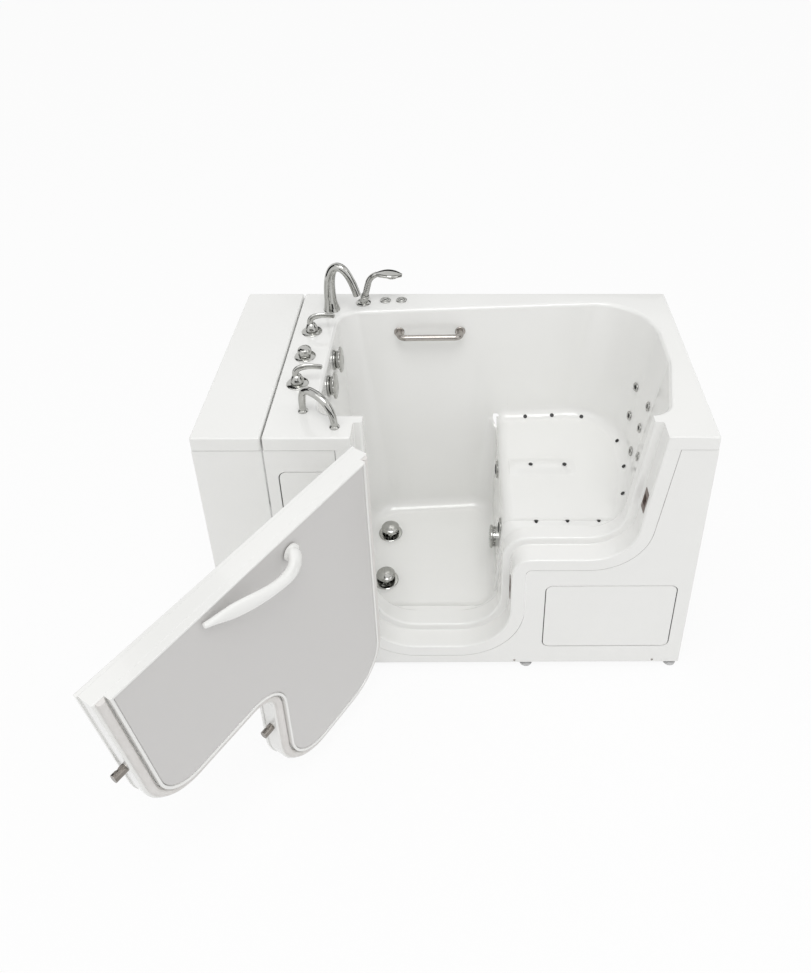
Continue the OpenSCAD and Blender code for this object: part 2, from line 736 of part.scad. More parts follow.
module latch_spaces() {
    for (b = bolts) bolt_place(b) {
        translate([0, 0, -guide_l]) cylinder(d = bolt_d + 2 * fit, h = guide_l + 40);
        translate([0, 0, bar_x - b[0]]) cylinder(d = rod_d + 2, h = b[0] - bar_x);
    }
    box([bar_space[0][0], skin_t - 1, bar_space[0][1]],
        [bar_space[1][0], bar_ys[1] + 1.5, bar_space[1][1]]);
    translate([handle_cx, skin_t - 1, handle_cz]) rotate([-90, 0, 0]) {
        cylinder(r = crank_r + 10, h = bar_ys[1] + 2.5 - skin_t);
        cylinder(r = spindle_r + run_fit, h = core_t + 2);
    }
}

module door_core() {
    color(acrylic) door_pose() difference() {
        union() {
            difference() {
                doorway_block(skin_t, face_in, core_g);
                doorway_block(skin_t - 1, face_in - core_wall, core_g - core_wall, deck_h - core_wall);
            }
            intersection() {
                doorway_block(skin_t, face_in, core_g);
                latch_guides();
            }
        }
        latch_spaces();
    }
}

module draw_bar() {
    color(steel) door_pose() difference() {
        box([bar_x - bar_w / 2, bar_ys[0], bar_zs[0]], [bar_x + bar_w / 2, bar_ys[1], bar_zs[1]]);
        box([bar_x - rod_d / 2 - 0.4, bar_ys[0] - 1, handle_cz - crank_r - rod_d / 2 - 1],
            [bar_x + rod_d / 2 + 0.4, bar_ys[1] + 1, handle_cz + pin_place[1] + rod_d / 2 + 1]);
    }
}

module ring(y0, y1, g0, g1, top0, top1) {
    difference() {
        doorway_block(y0, y1, g0, top0);
        doorway_block(y0 - 1, y1 + 1, g1, top1);
    }
}

module door_rim() {
    color(acrylic) door_pose() ring(face_in, face_y, rim_g, rim_g - rim_w, deck_h, deck_h - rim_w);
}

spindle_r = 8;
module door_panel() {
    color("lightgray") door_pose() difference() {
        doorway_block(face_in, face_y - 3, rim_g - rim_w - fit, deck_h - rim_w - fit);
        translate([handle_cx, face_in - 1, handle_cz]) rotate([-90, 0, 0])
            cylinder(r = spindle_r + run_fit, h = rim_h);
    }
}

seal_t = rebate_d - face_in - seat_gap;
module door_seal() {
    color("tan") door_pose() ring(face_in, face_in + seal_t, seal_g + seal_w, seal_g, deck_h - 2, deck_h + 5);
}

// Door handle: a bow that turns on its spindle
module door_handle() {
    path = concat(curve([0, face_y + 14, 0], [24, face_y + 46, -14], [62, face_y + 46, -16],
                        [118, face_y + 40, -10], 7),
                  [for (i = [1 : 7]) bez([118, face_y + 40, -10], [170, face_y + 34, -4],
                        [230, face_y + 16, 8], [handle_l, face_y + 7, 18], i / 7)]);
    n = len(path) - 1;
    wide = [for (i = [0 : n]) let(t = i / n) 23 - 17 * pow(t, 0.8)];
    tall = [for (i = [0 : n]) let(t = i / n) 14 - 8.5 * t];
    color(acrylic) door_pose() translate([handle_cx, 0, handle_cz]) {
        sweep(path, wide, tall, [0, 1, 0.05], 16);
        rotate([-90, 0, 0]) translate([0, 0, face_y + 0.6]) cylinder(r = 24, h = 14);
    }
}

module handle_spindle() {
    color(steel) door_pose() translate([handle_cx, 0, handle_cz]) rotate([-90, 0, 0]) {
        translate([0, 0, disc_ys[0]]) cylinder(r = spindle_r, h = face_y + 0.6 - disc_ys[0]);
        translate([0, 0, disc_ys[0]]) cylinder(r = crank_r + 8, h = disc_ys[1] - disc_ys[0]);
        translate([pin_place[0], -pin_place[1], disc_ys[1] - eps])
            cylinder(d = rod_d, h = bar_ys[1] - disc_ys[1]);
    }
}

module bolt(b) {
    bolt_place(b) {
        difference() {
            translate([0, 0, -bolt_shank]) cylinder(d = bolt_d, h = bolt_shank + bolt_out);
            translate([0, -bolt_d, bolt_out - 18]) rotate([0, 0, 90]) rotate([-42, 0, 0])
                translate([-bolt_d, 0, 0]) cube([2 * bolt_d, 60, 60]);
        }
        translate([0, 0, bar_x + bar_w / 2 + 0.05 - b[0]])
            cylinder(d = rod_d, h = b[0] - bolt_shank - bar_x - bar_w / 2);
    }
}

module upper_bolt() {
    color(chrome) door_pose() bolt(bolts[0]);
}

module lower_bolt() {
    color(chrome) door_pose() bolt(bolts[1]);
}

// Strikes take the bolts in the jamb
strike_box_y = bolt_d / 2 + 3.5;
strike_box_z = bolt_d / 2 + 8;
strikes = [[edge_x(high_bolt_z), high_bolt_z, edge_lean], [jamb_x + leg_w, low_bolt_z, 0]];
module strike_place(s) {
    translate([s[0], bolt_y, s[1]]) rotate([0, s[2], 0]) children();
}

module strike(s) {
    deep = bolt_out + 4;
    strike_place(s) difference() {
        union() {
            box([-1.7, -strike_box_y - 3, -38], [-0.1, strike_box_y + 3, 38]);
            box([-0.5, -strike_box_y, -strike_box_z], [deep, strike_box_y, strike_box_z]);
        }
        box([-3, -strike_box_y + 1.5, -strike_box_z + 1.5],
            [deep - 1.5, strike_box_y - 1.5, strike_box_z - 1.5]);
    }
}

module bolt_strikes() {
    color("rosybrown") tub() for (s = strikes) strike(s);
}

// Hinges
leaf_t = 4;
leaf_w = 36;
module knuckle(z0, z1, bore) {
    translate([hinge_cx, hinge_cy, z0]) difference() {
        cylinder(r = knuckle_r, h = z1 - z0);
        translate([0, 0, -1]) cylinder(r = bore, h = z1 - z0 + 2);
    }
}

module hinge_web(x0, x1, z0, z1) {
    difference() {
        box([x0, hinge_cy, z0], [x1, 0, z1]);
        translate([hinge_cx, hinge_cy, z0 - 1]) cylinder(r = knuckle_r - 2, h = z1 - z0 + 2);
    }
}

function knuckle_z(z, k) = [z + (k - 1.5) * knuckle_h + 0.3, z + (k - 0.5) * knuckle_h - 0.3];
module jamb_leaves() {
    color(steel) tub() for (z = hinge_zs) {
        box([hinge_cx - knuckle_r - leaf_w, -leaf_t, z - 1.5 * knuckle_h],
            [hinge_cx - knuckle_r + 3, 0, z + 1.5 * knuckle_h]);
        for (k = [0, 2]) {
            knuckle(knuckle_z(z, k)[0], knuckle_z(z, k)[1], pin_r);
            hinge_web(hinge_cx - knuckle_r - 3, hinge_cx, knuckle_z(z, k)[0], knuckle_z(z, k)[1]);
        }
    }
}

module door_leaves() {
    color(steel) door_pose() for (z = hinge_zs) {
        box([hinge_cx + knuckle_r + 1, -leaf_t, z - 1.5 * knuckle_h],
            [hinge_cx + knuckle_r + 1 + leaf_w, 0, z + 1.5 * knuckle_h]);
        knuckle(knuckle_z(z, 1)[0], knuckle_z(z, 1)[1], pin_r + run_fit);
        hinge_web(hinge_cx, hinge_cx + knuckle_r + 3, knuckle_z(z, 1)[0], knuckle_z(z, 1)[1]);
    }
}

module hinge_pins() {
    color(steel) tub() for (z = hinge_zs) {
        translate([hinge_cx, hinge_cy, z - 1.5 * knuckle_h]) cylinder(r = pin_r, h = 3 * knuckle_h);
        translate([hinge_cx, hinge_cy, z + 1.5 * knuckle_h]) cylinder(r = pin_r + 2.5, h = 3);
    }
}

// ---- Taps ----
flange_h = 7;
module tap_flange() {
    rotate_extrude() polygon([[tap_hole_d / 2 - 3, 0], [tap_flange_d / 2, 0], [tap_flange_d / 2, 2],
        [tap_flange_d / 2 - 5, 5], [tap_hole_d / 2 + 2, flange_h], [tap_hole_d / 2 - 3, flange_h]]);
}

module tap_flanges() {
    color(chrome) tub() for (y = [cold_y, tap_mid_y, hot_y]) translate([tap_x, y, deck_h]) tap_flange();
}

stem_r = 7;
module valve_body() {
    translate([0, 0, -74]) cylinder(d = 24, h = 20);
    translate([0, 0, -55]) cylinder(d = 42, h = 40);
    translate([0, 0, -15 - eps]) cylinder(d = tap_hole_d - 2 * fit - 6, h = 15 + flange_h + 2 * eps);
    translate([0, 0, flange_h]) cylinder(r = stem_r, h = 14);
}

inlet_d = 20.9;
inlet_l = 24;
module cold_valve() {
    color("goldenrod") tub() translate([tap_x, cold_y, deck_h]) {
        valve_body();
        translate([0, 0, -74 - inlet_l]) cylinder(d = inlet_d, h = inlet_l + eps);
    }
}

module hot_valve() {
    color("goldenrod") tub() translate([tap_x, hot_y, deck_h]) {
        valve_body();
        translate([0, 0, -74 - inlet_l]) cylinder(d = inlet_d, h = inlet_l + eps);
    }
}

module diverter_valve() {
    color("goldenrod") tub() translate([tap_x, tap_mid_y, deck_h]) valve_body();
}

lever_l = 76;
module lever_handle() {
    path = curve([-3, 0, 28], [-8, 0, 62], [20, 0, 68], [lever_l, 0, 54], 9);
    difference() {
        union() {
            rotate_extrude() polygon([[0, flange_h + 1], [21, flange_h + 1], [21, flange_h + 6],
                [18, 24], [13, 34], [0, 37]]);
            sweep(path, [for (i = [0 : 9]) 9.5 - 0.42 * i], [for (i = [0 : 9]) 9 - 0.4 * i], [0, 1, 0], 12);
        }
        translate([0, 0, flange_h]) cylinder(r = stem_r + run_fit, h = 14.2);
    }
}

module cold_handle() {
    color(chrome) tub() translate([tap_x, cold_y, deck_h]) rotate([0, 0, 10]) lever_handle();
}

module hot_handle() {
    color(chrome) tub() translate([tap_x, hot_y, deck_h]) rotate([0, 0, 10]) lever_handle();
}

module diverter_knob() {
    color(chrome) tub() translate([tap_x, tap_mid_y, deck_h]) difference() {
        rotate_extrude() polygon([[0, flange_h + 1], [20, flange_h + 1], [22, flange_h + 6], [23, 24],
            [21, 32], [15, 36], [0, 37]]);
        translate([0, 0, flange_h]) cylinder(r = stem_r + run_fit, h = 14.2);
        for (a = [0 : 45 : 315]) rotate([0, 0, a]) translate([27, 0, 18]) cylinder(r = 6, h = 30);
    }
}

spout_turn = -20;
module spout() {
    h = spout_h;
    d = spout_reach;
    path = concat(curve([0, 0, 4], [-6, 0, h * 0.45], [-4, 0, h * 0.98], [d * 0.36, 0, h], 9),
        [for (i = [1 : 8]) bez([d * 0.36, 0, h], [d * 0.66, 0, h * 1.01], [d * 0.86, 0, h * 0.7],
            [d, 0, h * 0.44], i / 8)]);
    n = len(path) - 1;
    r = [for (i = [0 : n]) let(t = i / n) spout_tip_d / 2 + (spout_foot_d / 2 - 6 - spout_tip_d / 2)
        * pow(max(0, 1 - 1.25 * t), 1.3)];
    color(chrome) tub() translate([spout_x, spout_y, deck_h]) {
        rotate([0, 0, spout_turn]) difference() {
            union() {
                sweep(path, r, r, [0, 1, 0], 20);
                rotate_extrude() polygon([[0, 0], [spout_foot_d / 2, 0], [spout_foot_d / 2, 4],
                    [spout_foot_d / 2 - 3, 14], [0, 16]]);
            }
            translate([d - 4, 0, h * 0.44 + 12]) rotate([0, 160, 0]) cylinder(d = spout_tip_d - 6, h = 40);
        }
        translate([0, 0, -60]) cylinder(d = 22, h = 60 + eps);
    }
}

// Hand shower on its deck holder
shower_lean = 15;
module shower_holder() {
    color(chrome) tub() translate([shower_x, shower_y, deck_h]) difference() {
        union() {
            rotate_extrude() polygon([[0, 0], [shower_flange_d / 2, 0], [shower_flange_d / 2, 3],
                [20, 7], [0, 8]]);
            rotate([0, shower_lean, 0]) translate([0, 0, 6]) cylinder(r = 15, h = 30);
            translate([0, 0, -40]) cylinder(d = 26, h = 40 + eps);
        }
        rotate([0, shower_lean, 0]) translate([0, 0, 12]) cylinder(r = 12, h = 60);
        translate([0, 0, -41]) cylinder(d = 14, h = 56);
    }
}

module hand_shower() {
    grip = concat([for (i = [0 : 6]) [0, 0, 12.3 + i * 12.3]],
        [for (i = [1 : 6]) bez([0, 0, 86], [0, 0, 104], [8, 0, 118], [22, 0, 128], i / 6)]);
    n = len(grip) - 1;
    head = curve([18, 0, 126], [44, 0, 138], [74, 0, 146], [108, 0, 146], 8);
    wide = [for (i = [0 : 8]) [10, 17, 23, 27, 29, 28, 25, 19, 8][i]];
    color(chrome) tub() translate([shower_x, shower_y, deck_h]) rotate([0, shower_lean, 0]) {
        grip_r = [for (i = [0 : n]) 10 + 1.5 * sin(180 * i / n)];
        sweep(grip, grip_r, grip_r);
        sweep(head, [for (i = [0 : 8]) 6 + 4 * sin(180 * i / 8)], wide, [0, 1, 0], 16);
    }
}

module button_bezels() {
    color(chrome) tub() for (b = buttons) translate([b[0], b[1], deck_h]) difference() {
        union() {
            rotate_extrude() polygon([[button_d / 2 - 9, 0], [button_d / 2, 0], [button_d / 2, 2],
                [button_d / 2 - 3, 5], [button_d / 2 - 9, 5]]);
            translate([0, 0, -34]) cylinder(d = button_d - 10 - 2 * fit, h = 34 + eps);
        }
        translate([0, 0, -9 - button_travel]) cylinder(r = button_d / 2 - 8, h = 30);
    }
}

module button(b) {
    translate([b[0], b[1], deck_h - 8]) rotate_extrude() polygon([[0, 0], [button_d / 2 - 8 - fit, 0],
        [button_d / 2 - 8 - fit, 13], [button_d / 2 - 10, 14.5], [0, 15.5]]);
}

module jet_button() {
    color(chrome) tub() button(buttons[0]);
}

module air_button() {
    color(chrome) tub() button(buttons[1]);
}

// ---- Drains and overflows ----
module drain(y) {
    translate([drain_x, y, floor_h - hub_drop - 12]) difference() {
        union() {
            cylinder(r = 9, h = 12);
            for (a = [30 : 120 : 270]) rotate([0, 0, a]) translate([0, -2, 3])
                cube([throat_d / 2 + 1, 4, 6]);
        }
        translate([0, 0, -1]) cylinder(r = stem_d / 2 + run_fit, h = 14);
    }
    translate([drain_x, y, floor_h]) difference() {
        rotate_extrude() polygon([[0, -60], [38, -60], [38, -shell_t - 0.5],
            [throat_d / 2 + 2.6, -shell_t - 0.5], [throat_d / 2 + 2.6, 0], [drain_d / 2, 0.3], [drain_d / 2, 2], [drain_d / 2 - 8, 4],
            [throat_d / 2, 4], [0, 4]]);
        translate([0, 0, -56]) cylinder(d = throat_d, h = 80);
        translate([0, 0, waste_z - floor_h]) rotate([-90, 0, 0]) cylinder(d = waste_d - 6, h = 60);
        if (y == drain_ys[1]) translate([0, 0, waste_z - floor_h]) rotate([90, 0, 0])
            cylinder(d = waste_d - 6, h = 60);
    }
}

module drain_bodies() {
    color(chrome) tub() for (y = drain_ys) drain(y);
}

stem_d = 8;
hub_drop = 10;
seated = 4.5;
boss_l = seated + hub_drop - 0.5;
module stopper(y) {
    translate([drain_x, y, floor_h + seated + stopper_lift]) {
        rotate_extrude() polygon([[0, -boss_l], [6, -boss_l], [6, 0], [stopper_d / 2 - 4, 0],
            [stopper_d / 2, 3], [stopper_d / 2, 7], [stopper_d / 2 - 5, 12], [stopper_d / 2 - 16, 15.5], [0, 17.5]]);
        translate([0, 0, -22 - seated - stopper_lift]) cylinder(d = stem_d, h = 20 + stopper_lift);
    }
}

module front_stopper() {
    color(chrome) tub() stopper(drain_ys[0]);
}

module back_stopper() {
    color(chrome) tub() stopper(drain_ys[1]);
}

waste_z = floor_h - shell_t - waste_d / 2 - 1;
function overflow_outer(z) = basin_x + (deck_h - z) * tan(foot_slope) - 29;
waste_end_y = overall_d - 20;
module waste_pipes() {
    color("whitesmoke") tub() {
        for (k = [0, 1])
            let(y = overflow_ys[k], a = overflow_outer(overflow_z - 32), b = overflow_outer(floor_h + 30))
            pipe_run([[a, y, overflow_z - 32], [b, drain_ys[k], floor_h + 30],
                [b, drain_ys[k], waste_z], [drain_x - 38 - fit, drain_ys[k], waste_z]], 32);
        for (s = [[drain_ys[0] + 38.2, drain_ys[1] - 38.2], [drain_ys[1] + 38.2, waste_end_y]])
            translate([drain_x, s[0], waste_z]) rotate([-90, 0, 0]) difference() {
                cylinder(d = waste_d, h = s[1] - s[0]);
                translate([0, 0, -1]) cylinder(d = waste_d - 6, h = s[1] - s[0] + 2);
            }
    }
}

module overflow_fittings() {
    color(chrome) tub() for (y = overflow_ys) on_end_wall(y, overflow_z) {
        overflow_body();
        overflow_plate();
    }
}

module overflow_body() {
    difference() {
        union() {
            translate([0, 0, -34]) cylinder(d = 56, h = 34 - shell_t - 1);
            translate([0, 0, -34]) cylinder(d = 50 - 2 * fit, h = 34 + 1);
        }
        translate([0, 0, -28]) cylinder(d = 40, h = 40);
        translate([0, 0, -45]) cylinder(r = 5 + run_fit, h = 60);
    }
}

module overflow_plate() {
    difference() {
        translate([0, 0, 1.2]) cylinder(d = overflow_d - 20, h = 6);
        cylinder(r = 5 + run_fit, h = 20);
        for (a = [0 : 45 : 315]) rotate([0, 0, a + 22]) translate([14, 0, 0]) cylinder(r = 3, h = 20);
    }
}

module overflow_knob(y) {
    on_end_wall(y, overflow_z) {
        translate([0, 0, -40]) cylinder(r = 5, h = 52);
        difference() {
            translate([0, 0, 8]) rotate_extrude() polygon([[0, 0], [overflow_d / 2 - 14, 0],
                [overflow_d / 2 - 12, 10], [overflow_d / 2, 12], [overflow_d / 2, 15],
                [overflow_d / 2 - 8, 19], [0, 21]]);
            for (a = [0 : 30 : 330]) rotate([0, 0, a]) translate([overflow_d / 2 + 3, 0, 0])
                cylinder(r = 6, h = 40);
        }
    }
}

module front_overflow_knob() {
    color(chrome) tub() overflow_knob(overflow_ys[0]);
}

module back_overflow_knob() {
    color(chrome) tub() overflow_knob(overflow_ys[1]);
}

// ---- Jets ----
module jet_rings() {
    color(chrome) tub() {
        back_rings();
        foot_rings();
    }
}

module back_rings() {
    for (j = back_jets) on_rest(j[0], j[1]) difference() {
        union() {
            translate([0, 0, 1.5]) rotate_extrude() polygon([[jet_bore - 4, 0], [back_jet_d / 2, 0],
                [back_jet_d / 2, 1.5], [back_jet_d / 2 - 3, 3.5], [jet_bore - 4, 4]]);
            translate([0, 0, -30]) cylinder(r = jet_bore, h = 32);
        }
        translate([0, 0, -24]) cylinder(r = jet_bore - 4, h = 60);
    }
}

module back_jet_nozzles() {
    color(dark) tub() for (j = back_jets) on_rest(j[0], j[1]) difference() {
        translate([0, 0, -20]) cylinder(r = jet_bore - 4 - fit, h = 24);
        translate([0, 0, -10]) cylinder(r = 2.5, h = 20);
    }
}

module foot_rings() {
    for (j = foot_jets) on_riser(j[0], j[1]) difference() {
        union() {
            translate([0, 0, 0.3]) rotate_extrude() polygon([[foot_jet_d / 2 - 14, 0], [foot_jet_d / 2, 0],
                [foot_jet_d / 2, 2], [foot_jet_d / 2 - 6, 6], [foot_jet_d / 2 - 14, 6]]);
            translate([0, 0, -36]) cylinder(d = foot_jet_d - 16 - 2 * fit, h = 37);
        }
        translate([0, 0, -26]) cylinder(d = foot_jet_d - 28, h = 60);
    }
}

module foot_nozzle(j) {
    on_riser(j[0], j[1]) difference() {
        rotate_extrude() polygon([[0, -20], [foot_jet_d / 2 - 14 - fit, -20], [foot_jet_d / 2 - 14 - fit, 4],
            [foot_jet_d / 2 - 18, 9], [0, 9]]);
        for (a = [0 : 120 : 240]) rotate([0, 0, a]) translate([7, 0, -8]) cylinder(r = 4, h = 30);
    }
}

module front_foot_nozzle() {
    color(dark) tub() foot_nozzle(foot_jets[0]);
}

module back_foot_nozzle() {
    color(dark) tub() foot_nozzle(foot_jets[1]);
}

module suction_cover() {
    color(chrome) tub() on_riser(suction_yz[0], suction_yz[1]) difference() {
        union() {
            translate([0, 0, 0.3]) rotate_extrude() polygon([[0, 0], [suction_d / 2 - 6, 0],
                [suction_d / 2 - 6, 10], [suction_d / 2, 12], [suction_d / 2, 18],
                [suction_d / 2 - 8, 22], [0, 23]]);
            translate([0, 0, -30]) cylinder(d = suction_d - 20 - 2 * fit, h = 31);
        }
        translate([0, 0, -24]) cylinder(d = suction_d - 30, h = 42);
        for (a = [0 : 30 : 330]) rotate([0, 0, a]) translate([suction_d / 2 - 18, 0, 10])
            cylinder(r = 2.5, h = 40);
        for (a = [0 : 60 : 300]) rotate([0, 0, a]) translate([suction_d / 2 - 30, 0, 10])
            cylinder(r = 2.5, h = 40);
    }
}

module air_jets() {
    color(dark) tub() air_places() {
        translate([0, 0, 1.5]) cylinder(d1 = air_jet_d, d2 = air_jet_d - 4, h = 1.6);
        translate([0, 0, -air_stem]) cylinder(d = air_jet_d - 4 - 2 * fit, h = air_stem + 1.5 + eps);
    }
}

// ---- Grab bars ----
arch_a = [jamb_x - 152, deck_front + 14];
arch_b = arch_a + arch_l * [cos(-36), sin(-36)];
module deck_handle() {
    path = concat(curve([0, 0, 3], [-4, 0, arch_h * 0.7], [8, 0, arch_h], [44, 0, arch_h], 8),
        [for (i = [1 : 8]) bez([44, 0, arch_h], [90, 0, arch_h], [arch_l, 0, arch_h * 0.72],
            [arch_l, 0, 3], i / 8)]);
    n = len(path) - 1;
    r = [for (i = [0 : n]) arch_d / 2 + 2.5 * sin(180 * i / n)];
    color(chrome) tub() translate([arch_a[0], arch_a[1], deck_h]) rotate([0, 0, -36]) {
        sweep(path, r, r, [0, 1, 0], 16);
        for (x = [0, arch_l]) translate([x, 0, 0]) {
            rotate_extrude() polygon([[0, 0], [arch_d * 0.75, 0], [arch_d * 0.75, 3],
                [arch_d / 2 + 1, 7], [0, 7]]);
            translate([0, 0, -18]) cylinder(d = 8, h = 18 + eps);
        }
    }
}

bar_z = deck_h - 92;
bar_xs = [basin_x + 208, basin_x + 208 + bar_l];
bar_turn = 24;
module wall_bar() {
    mid = (bar_xs[0] + bar_xs[1]) / 2;
    color(steel) tub() on_back_wall(mid, bar_z) {
        for (s = [0, 180]) rotate([0, 0, s]) {
            translate([bar_l / 2 - bar_turn, 0, bar_off - bar_turn]) rotate([90, 0, 0])
                rotate_extrude(angle = 90) translate([bar_turn, 0]) circle(d = bar_d);
            translate([bar_l / 2, 0, 1]) cylinder(d = bar_d, h = bar_off - bar_turn - 1);
            translate([bar_l / 2, 0, 1]) cylinder(d1 = bar_d + 16, d2 = bar_d + 12, h = 4);
            translate([bar_l / 2, 0, -17]) cylinder(d = 8, h = 19);
        }
        translate([-bar_l / 2 + bar_turn, 0, bar_off]) rotate([0, 90, 0])
            cylinder(d = bar_d, h = bar_l - 2 * bar_turn);
    }
}

// ---- Pump, blower and pipes ----
board_z = rail_top;
module service_board() {
    color("burlywood") tub() box([cross_xs[3] + tube + 5, rail_yf + 3, board_z],
        [overall_l - 60, rail_yb + tube - 3, board_z + 15]);
}

pump_x = overall_l - 234;
pump_y = suction_yz[0];
pump_z = board_z + 15;
shaft_z = pump_z + 105;
module pump() {
    color(dark) tub() translate([pump_x, pump_y, shaft_z]) difference() {
        union() {
            rotate([0, 90, 0]) cylinder(d = 150, h = 190);
            translate([-70, 0, 0]) rotate([0, 90, 0]) cylinder(d = 176, h = 72);
            translate([-110, 0, 0]) rotate([0, 90, 0]) cylinder(d = 54, h = 50);
            translate([-34, 50, 0]) cylinder(d = 54, h = 120);
            box([20, -60, -105], [160, 60, -45]);
            for (x = [30 : 14 : 170]) translate([x, 0, 0]) rotate([0, 90, 0]) cylinder(d = 158, h = 5);
        }
        translate([-111, 0, 0]) rotate([0, 90, 0]) cylinder(d = water_pipe_d + 2 * fit, h = 24);
        translate([-34, 50, 98]) cylinder(d = water_pipe_d + 2 * fit, h = 24);
    }
}

blower_x = pump_x + 10;
blower_y = pump_y + 185;
air_z = pump_z + 60;
module blower() {
    color(dark) tub() translate([blower_x, blower_y, pump_z]) difference() {
        union() {
            cylinder(d = 170, h = 14);
            translate([0, 0, 14 - eps]) cylinder(d = 150, h = 96);
            translate([0, 0, 110 - eps]) cylinder(d1 = 150, d2 = 110, h = 30);
            translate([-60, 0, 60]) rotate([0, -90, 0]) cylinder(d = 44, h = 60);
        }
        translate([-98, 0, 60]) rotate([0, -90, 0]) cylinder(d = air_pipe_d + 2 * fit, h = 24);
    }
}

// Water runs from the suction cover through the pump to all eight jets
foot_jet_x = riser_at(foot_jet_z) + 37;
manifold_x = riser_x + 100;
suction_x = riser_at(suction_yz[1]) + 31;
suction_l = pump_x - 88 - suction_x;
rest_pipe_d = 28;
header_z = seat_h + 20;
header_x = rest_x(header_z) + 45;
function jet_back(j) = let(a = rest_turn(j[0], j[1]), d = 30.4 + rest_pipe_d * elbow / 2)
    [rest_at(j[0], j[1]), j[0], j[1]]
    + d * [cos(rest_slope) * cos(a), cos(rest_slope) * sin(a), -sin(rest_slope)];
module water_pipes() {
    d = water_pipe_d;
    out = [pump_x - 34, pump_y + 50];
    header = [for (y = [back_jets[5][0], back_jets[3][0]]) [header_x, y, header_z]];
    color("whitesmoke") tub() {
        pipe_run([[suction_x, pump_y, suction_yz[1]], [suction_x + 0.45 * suction_l, pump_y, suction_yz[1]],
            [suction_x + 0.75 * suction_l, pump_y, shaft_z], [pump_x - 88, pump_y, shaft_z]], d);
        translate([out[0], out[1], shaft_z + 99]) cylinder(d = d, h = 40);
        pipe_run([[out[0], out[1], shaft_z + 99], [out[0], out[1], foot_jet_z]], d - 6);
        pipe_run([[foot_jet_x, foot_jets[0][0], foot_jet_z], [manifold_x, foot_jets[0][0], foot_jet_z],
            [manifold_x, foot_jets[1][0], foot_jet_z], [foot_jet_x, foot_jets[1][0], foot_jet_z]], d);
        pipe_run([[manifold_x, out[1], foot_jet_z], [header_x, out[1], foot_jet_z],
            [header_x, out[1], header_z]], d - 3);
        pipe_run([jet_back(back_jets[5]), header[0], header[1], jet_back(back_jets[3]),
            jet_back(back_jets[4])], rest_pipe_d);
        pipe_run([[header_x, back_jets[0][0], header_z], jet_back(back_jets[0]), jet_back(back_jets[1]),
            jet_back(back_jets[2])], rest_pipe_d);
    }
}

// Air runs from the blower through a ring of pipe under the seat
ring_out = cove_r + air_stem + air_pipe_d * elbow / 2 + 0.4;
ring_z = seat_h + cove_r - ring_out * cos(cove_tilt);
mid_z = seat_h + ridge_h - air_stem - air_pipe_d * elbow / 2 - 0.4;
function below(c) = [c[0] + ring_out * sin(cove_tilt) * cos(c[2]),
    c[1] + ring_out * sin(cove_tilt) * sin(c[2]), ring_z];
module air_pipes() {
    d = air_pipe_d;
    ring = [for (c = coves) below(c)];
    // The back run passes just outside the middle jet of its row
    back_run = (ring[4] - [0, 2, 0] - ring[5]) * 1.95;
    feed_x = (riser_x + 52 + blower_x - 99) / 2;
    feed_end = ring[5] + back_run * (feed_x - ring[5][0]) / back_run[0];
    color("gainsboro") tub() {
        pipe_run([[min(ring[0][0], feed_x) - 14, ring[0][1], ring_z], ring[2] + [16, 0, 0], ring[8], ring[6],
            ring[7], ring[5], ring[5] + back_run], d);
        pipe_run([[feed_x, ring[0][1], ring_z], feed_end], d - 3);
        pipe_run([[min(mid_jets) - 14, seat_mid_y, mid_z], [max(mid_jets) + 14, seat_mid_y, mid_z]], d - 6);
        pipe_run([[blower_x - 99, blower_y, air_z], [feed_x, blower_y, air_z],
            [feed_x, blower_y, ring_z]], d - 6);
    }
}

// ---- Assembly ----
basin_shell();
front_apron();
left_access_panel();
right_access_panel();
apron_screws();
extension_top();
extension_front();
extension_end();
base_frame();
posts();
seat_stand();
floor_blocks();
levelling_feet();
door_skin();
door_core();
draw_bar();
door_rim();
door_panel();
door_seal();
door_handle();
handle_spindle();
upper_bolt();
lower_bolt();
bolt_strikes();
jamb_leaves();
door_leaves();
hinge_pins();
tap_flanges();
cold_valve();
hot_valve();
diverter_valve();
cold_handle();
hot_handle();
diverter_knob();
spout();
shower_holder();
hand_shower();
button_bezels();
jet_button();
air_button();
drain_bodies();
front_stopper();
back_stopper();
waste_pipes();
overflow_fittings();
front_overflow_knob();
back_overflow_knob();
jet_rings();
back_jet_nozzles();
front_foot_nozzle();
back_foot_nozzle();
suction_cover();
air_jets();
deck_handle();
wall_bar();
service_board();
pump();
blower();
water_pipes();
air_pipes();
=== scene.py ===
# %% [markdown]
# A walk-in bathtub is a moulded acrylic shell on a steel frame, with a door in
# its front wall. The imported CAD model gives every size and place, and this
# script gives the visible pieces their softer forms and their finishes.

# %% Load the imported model
import json
import math
from math import acos, asin, atan, cos, hypot, pi, radians, sin, sqrt, tan

import bmesh
import bpy
from mathutils import Matrix, Vector
from mathutils.kdtree import KDTree


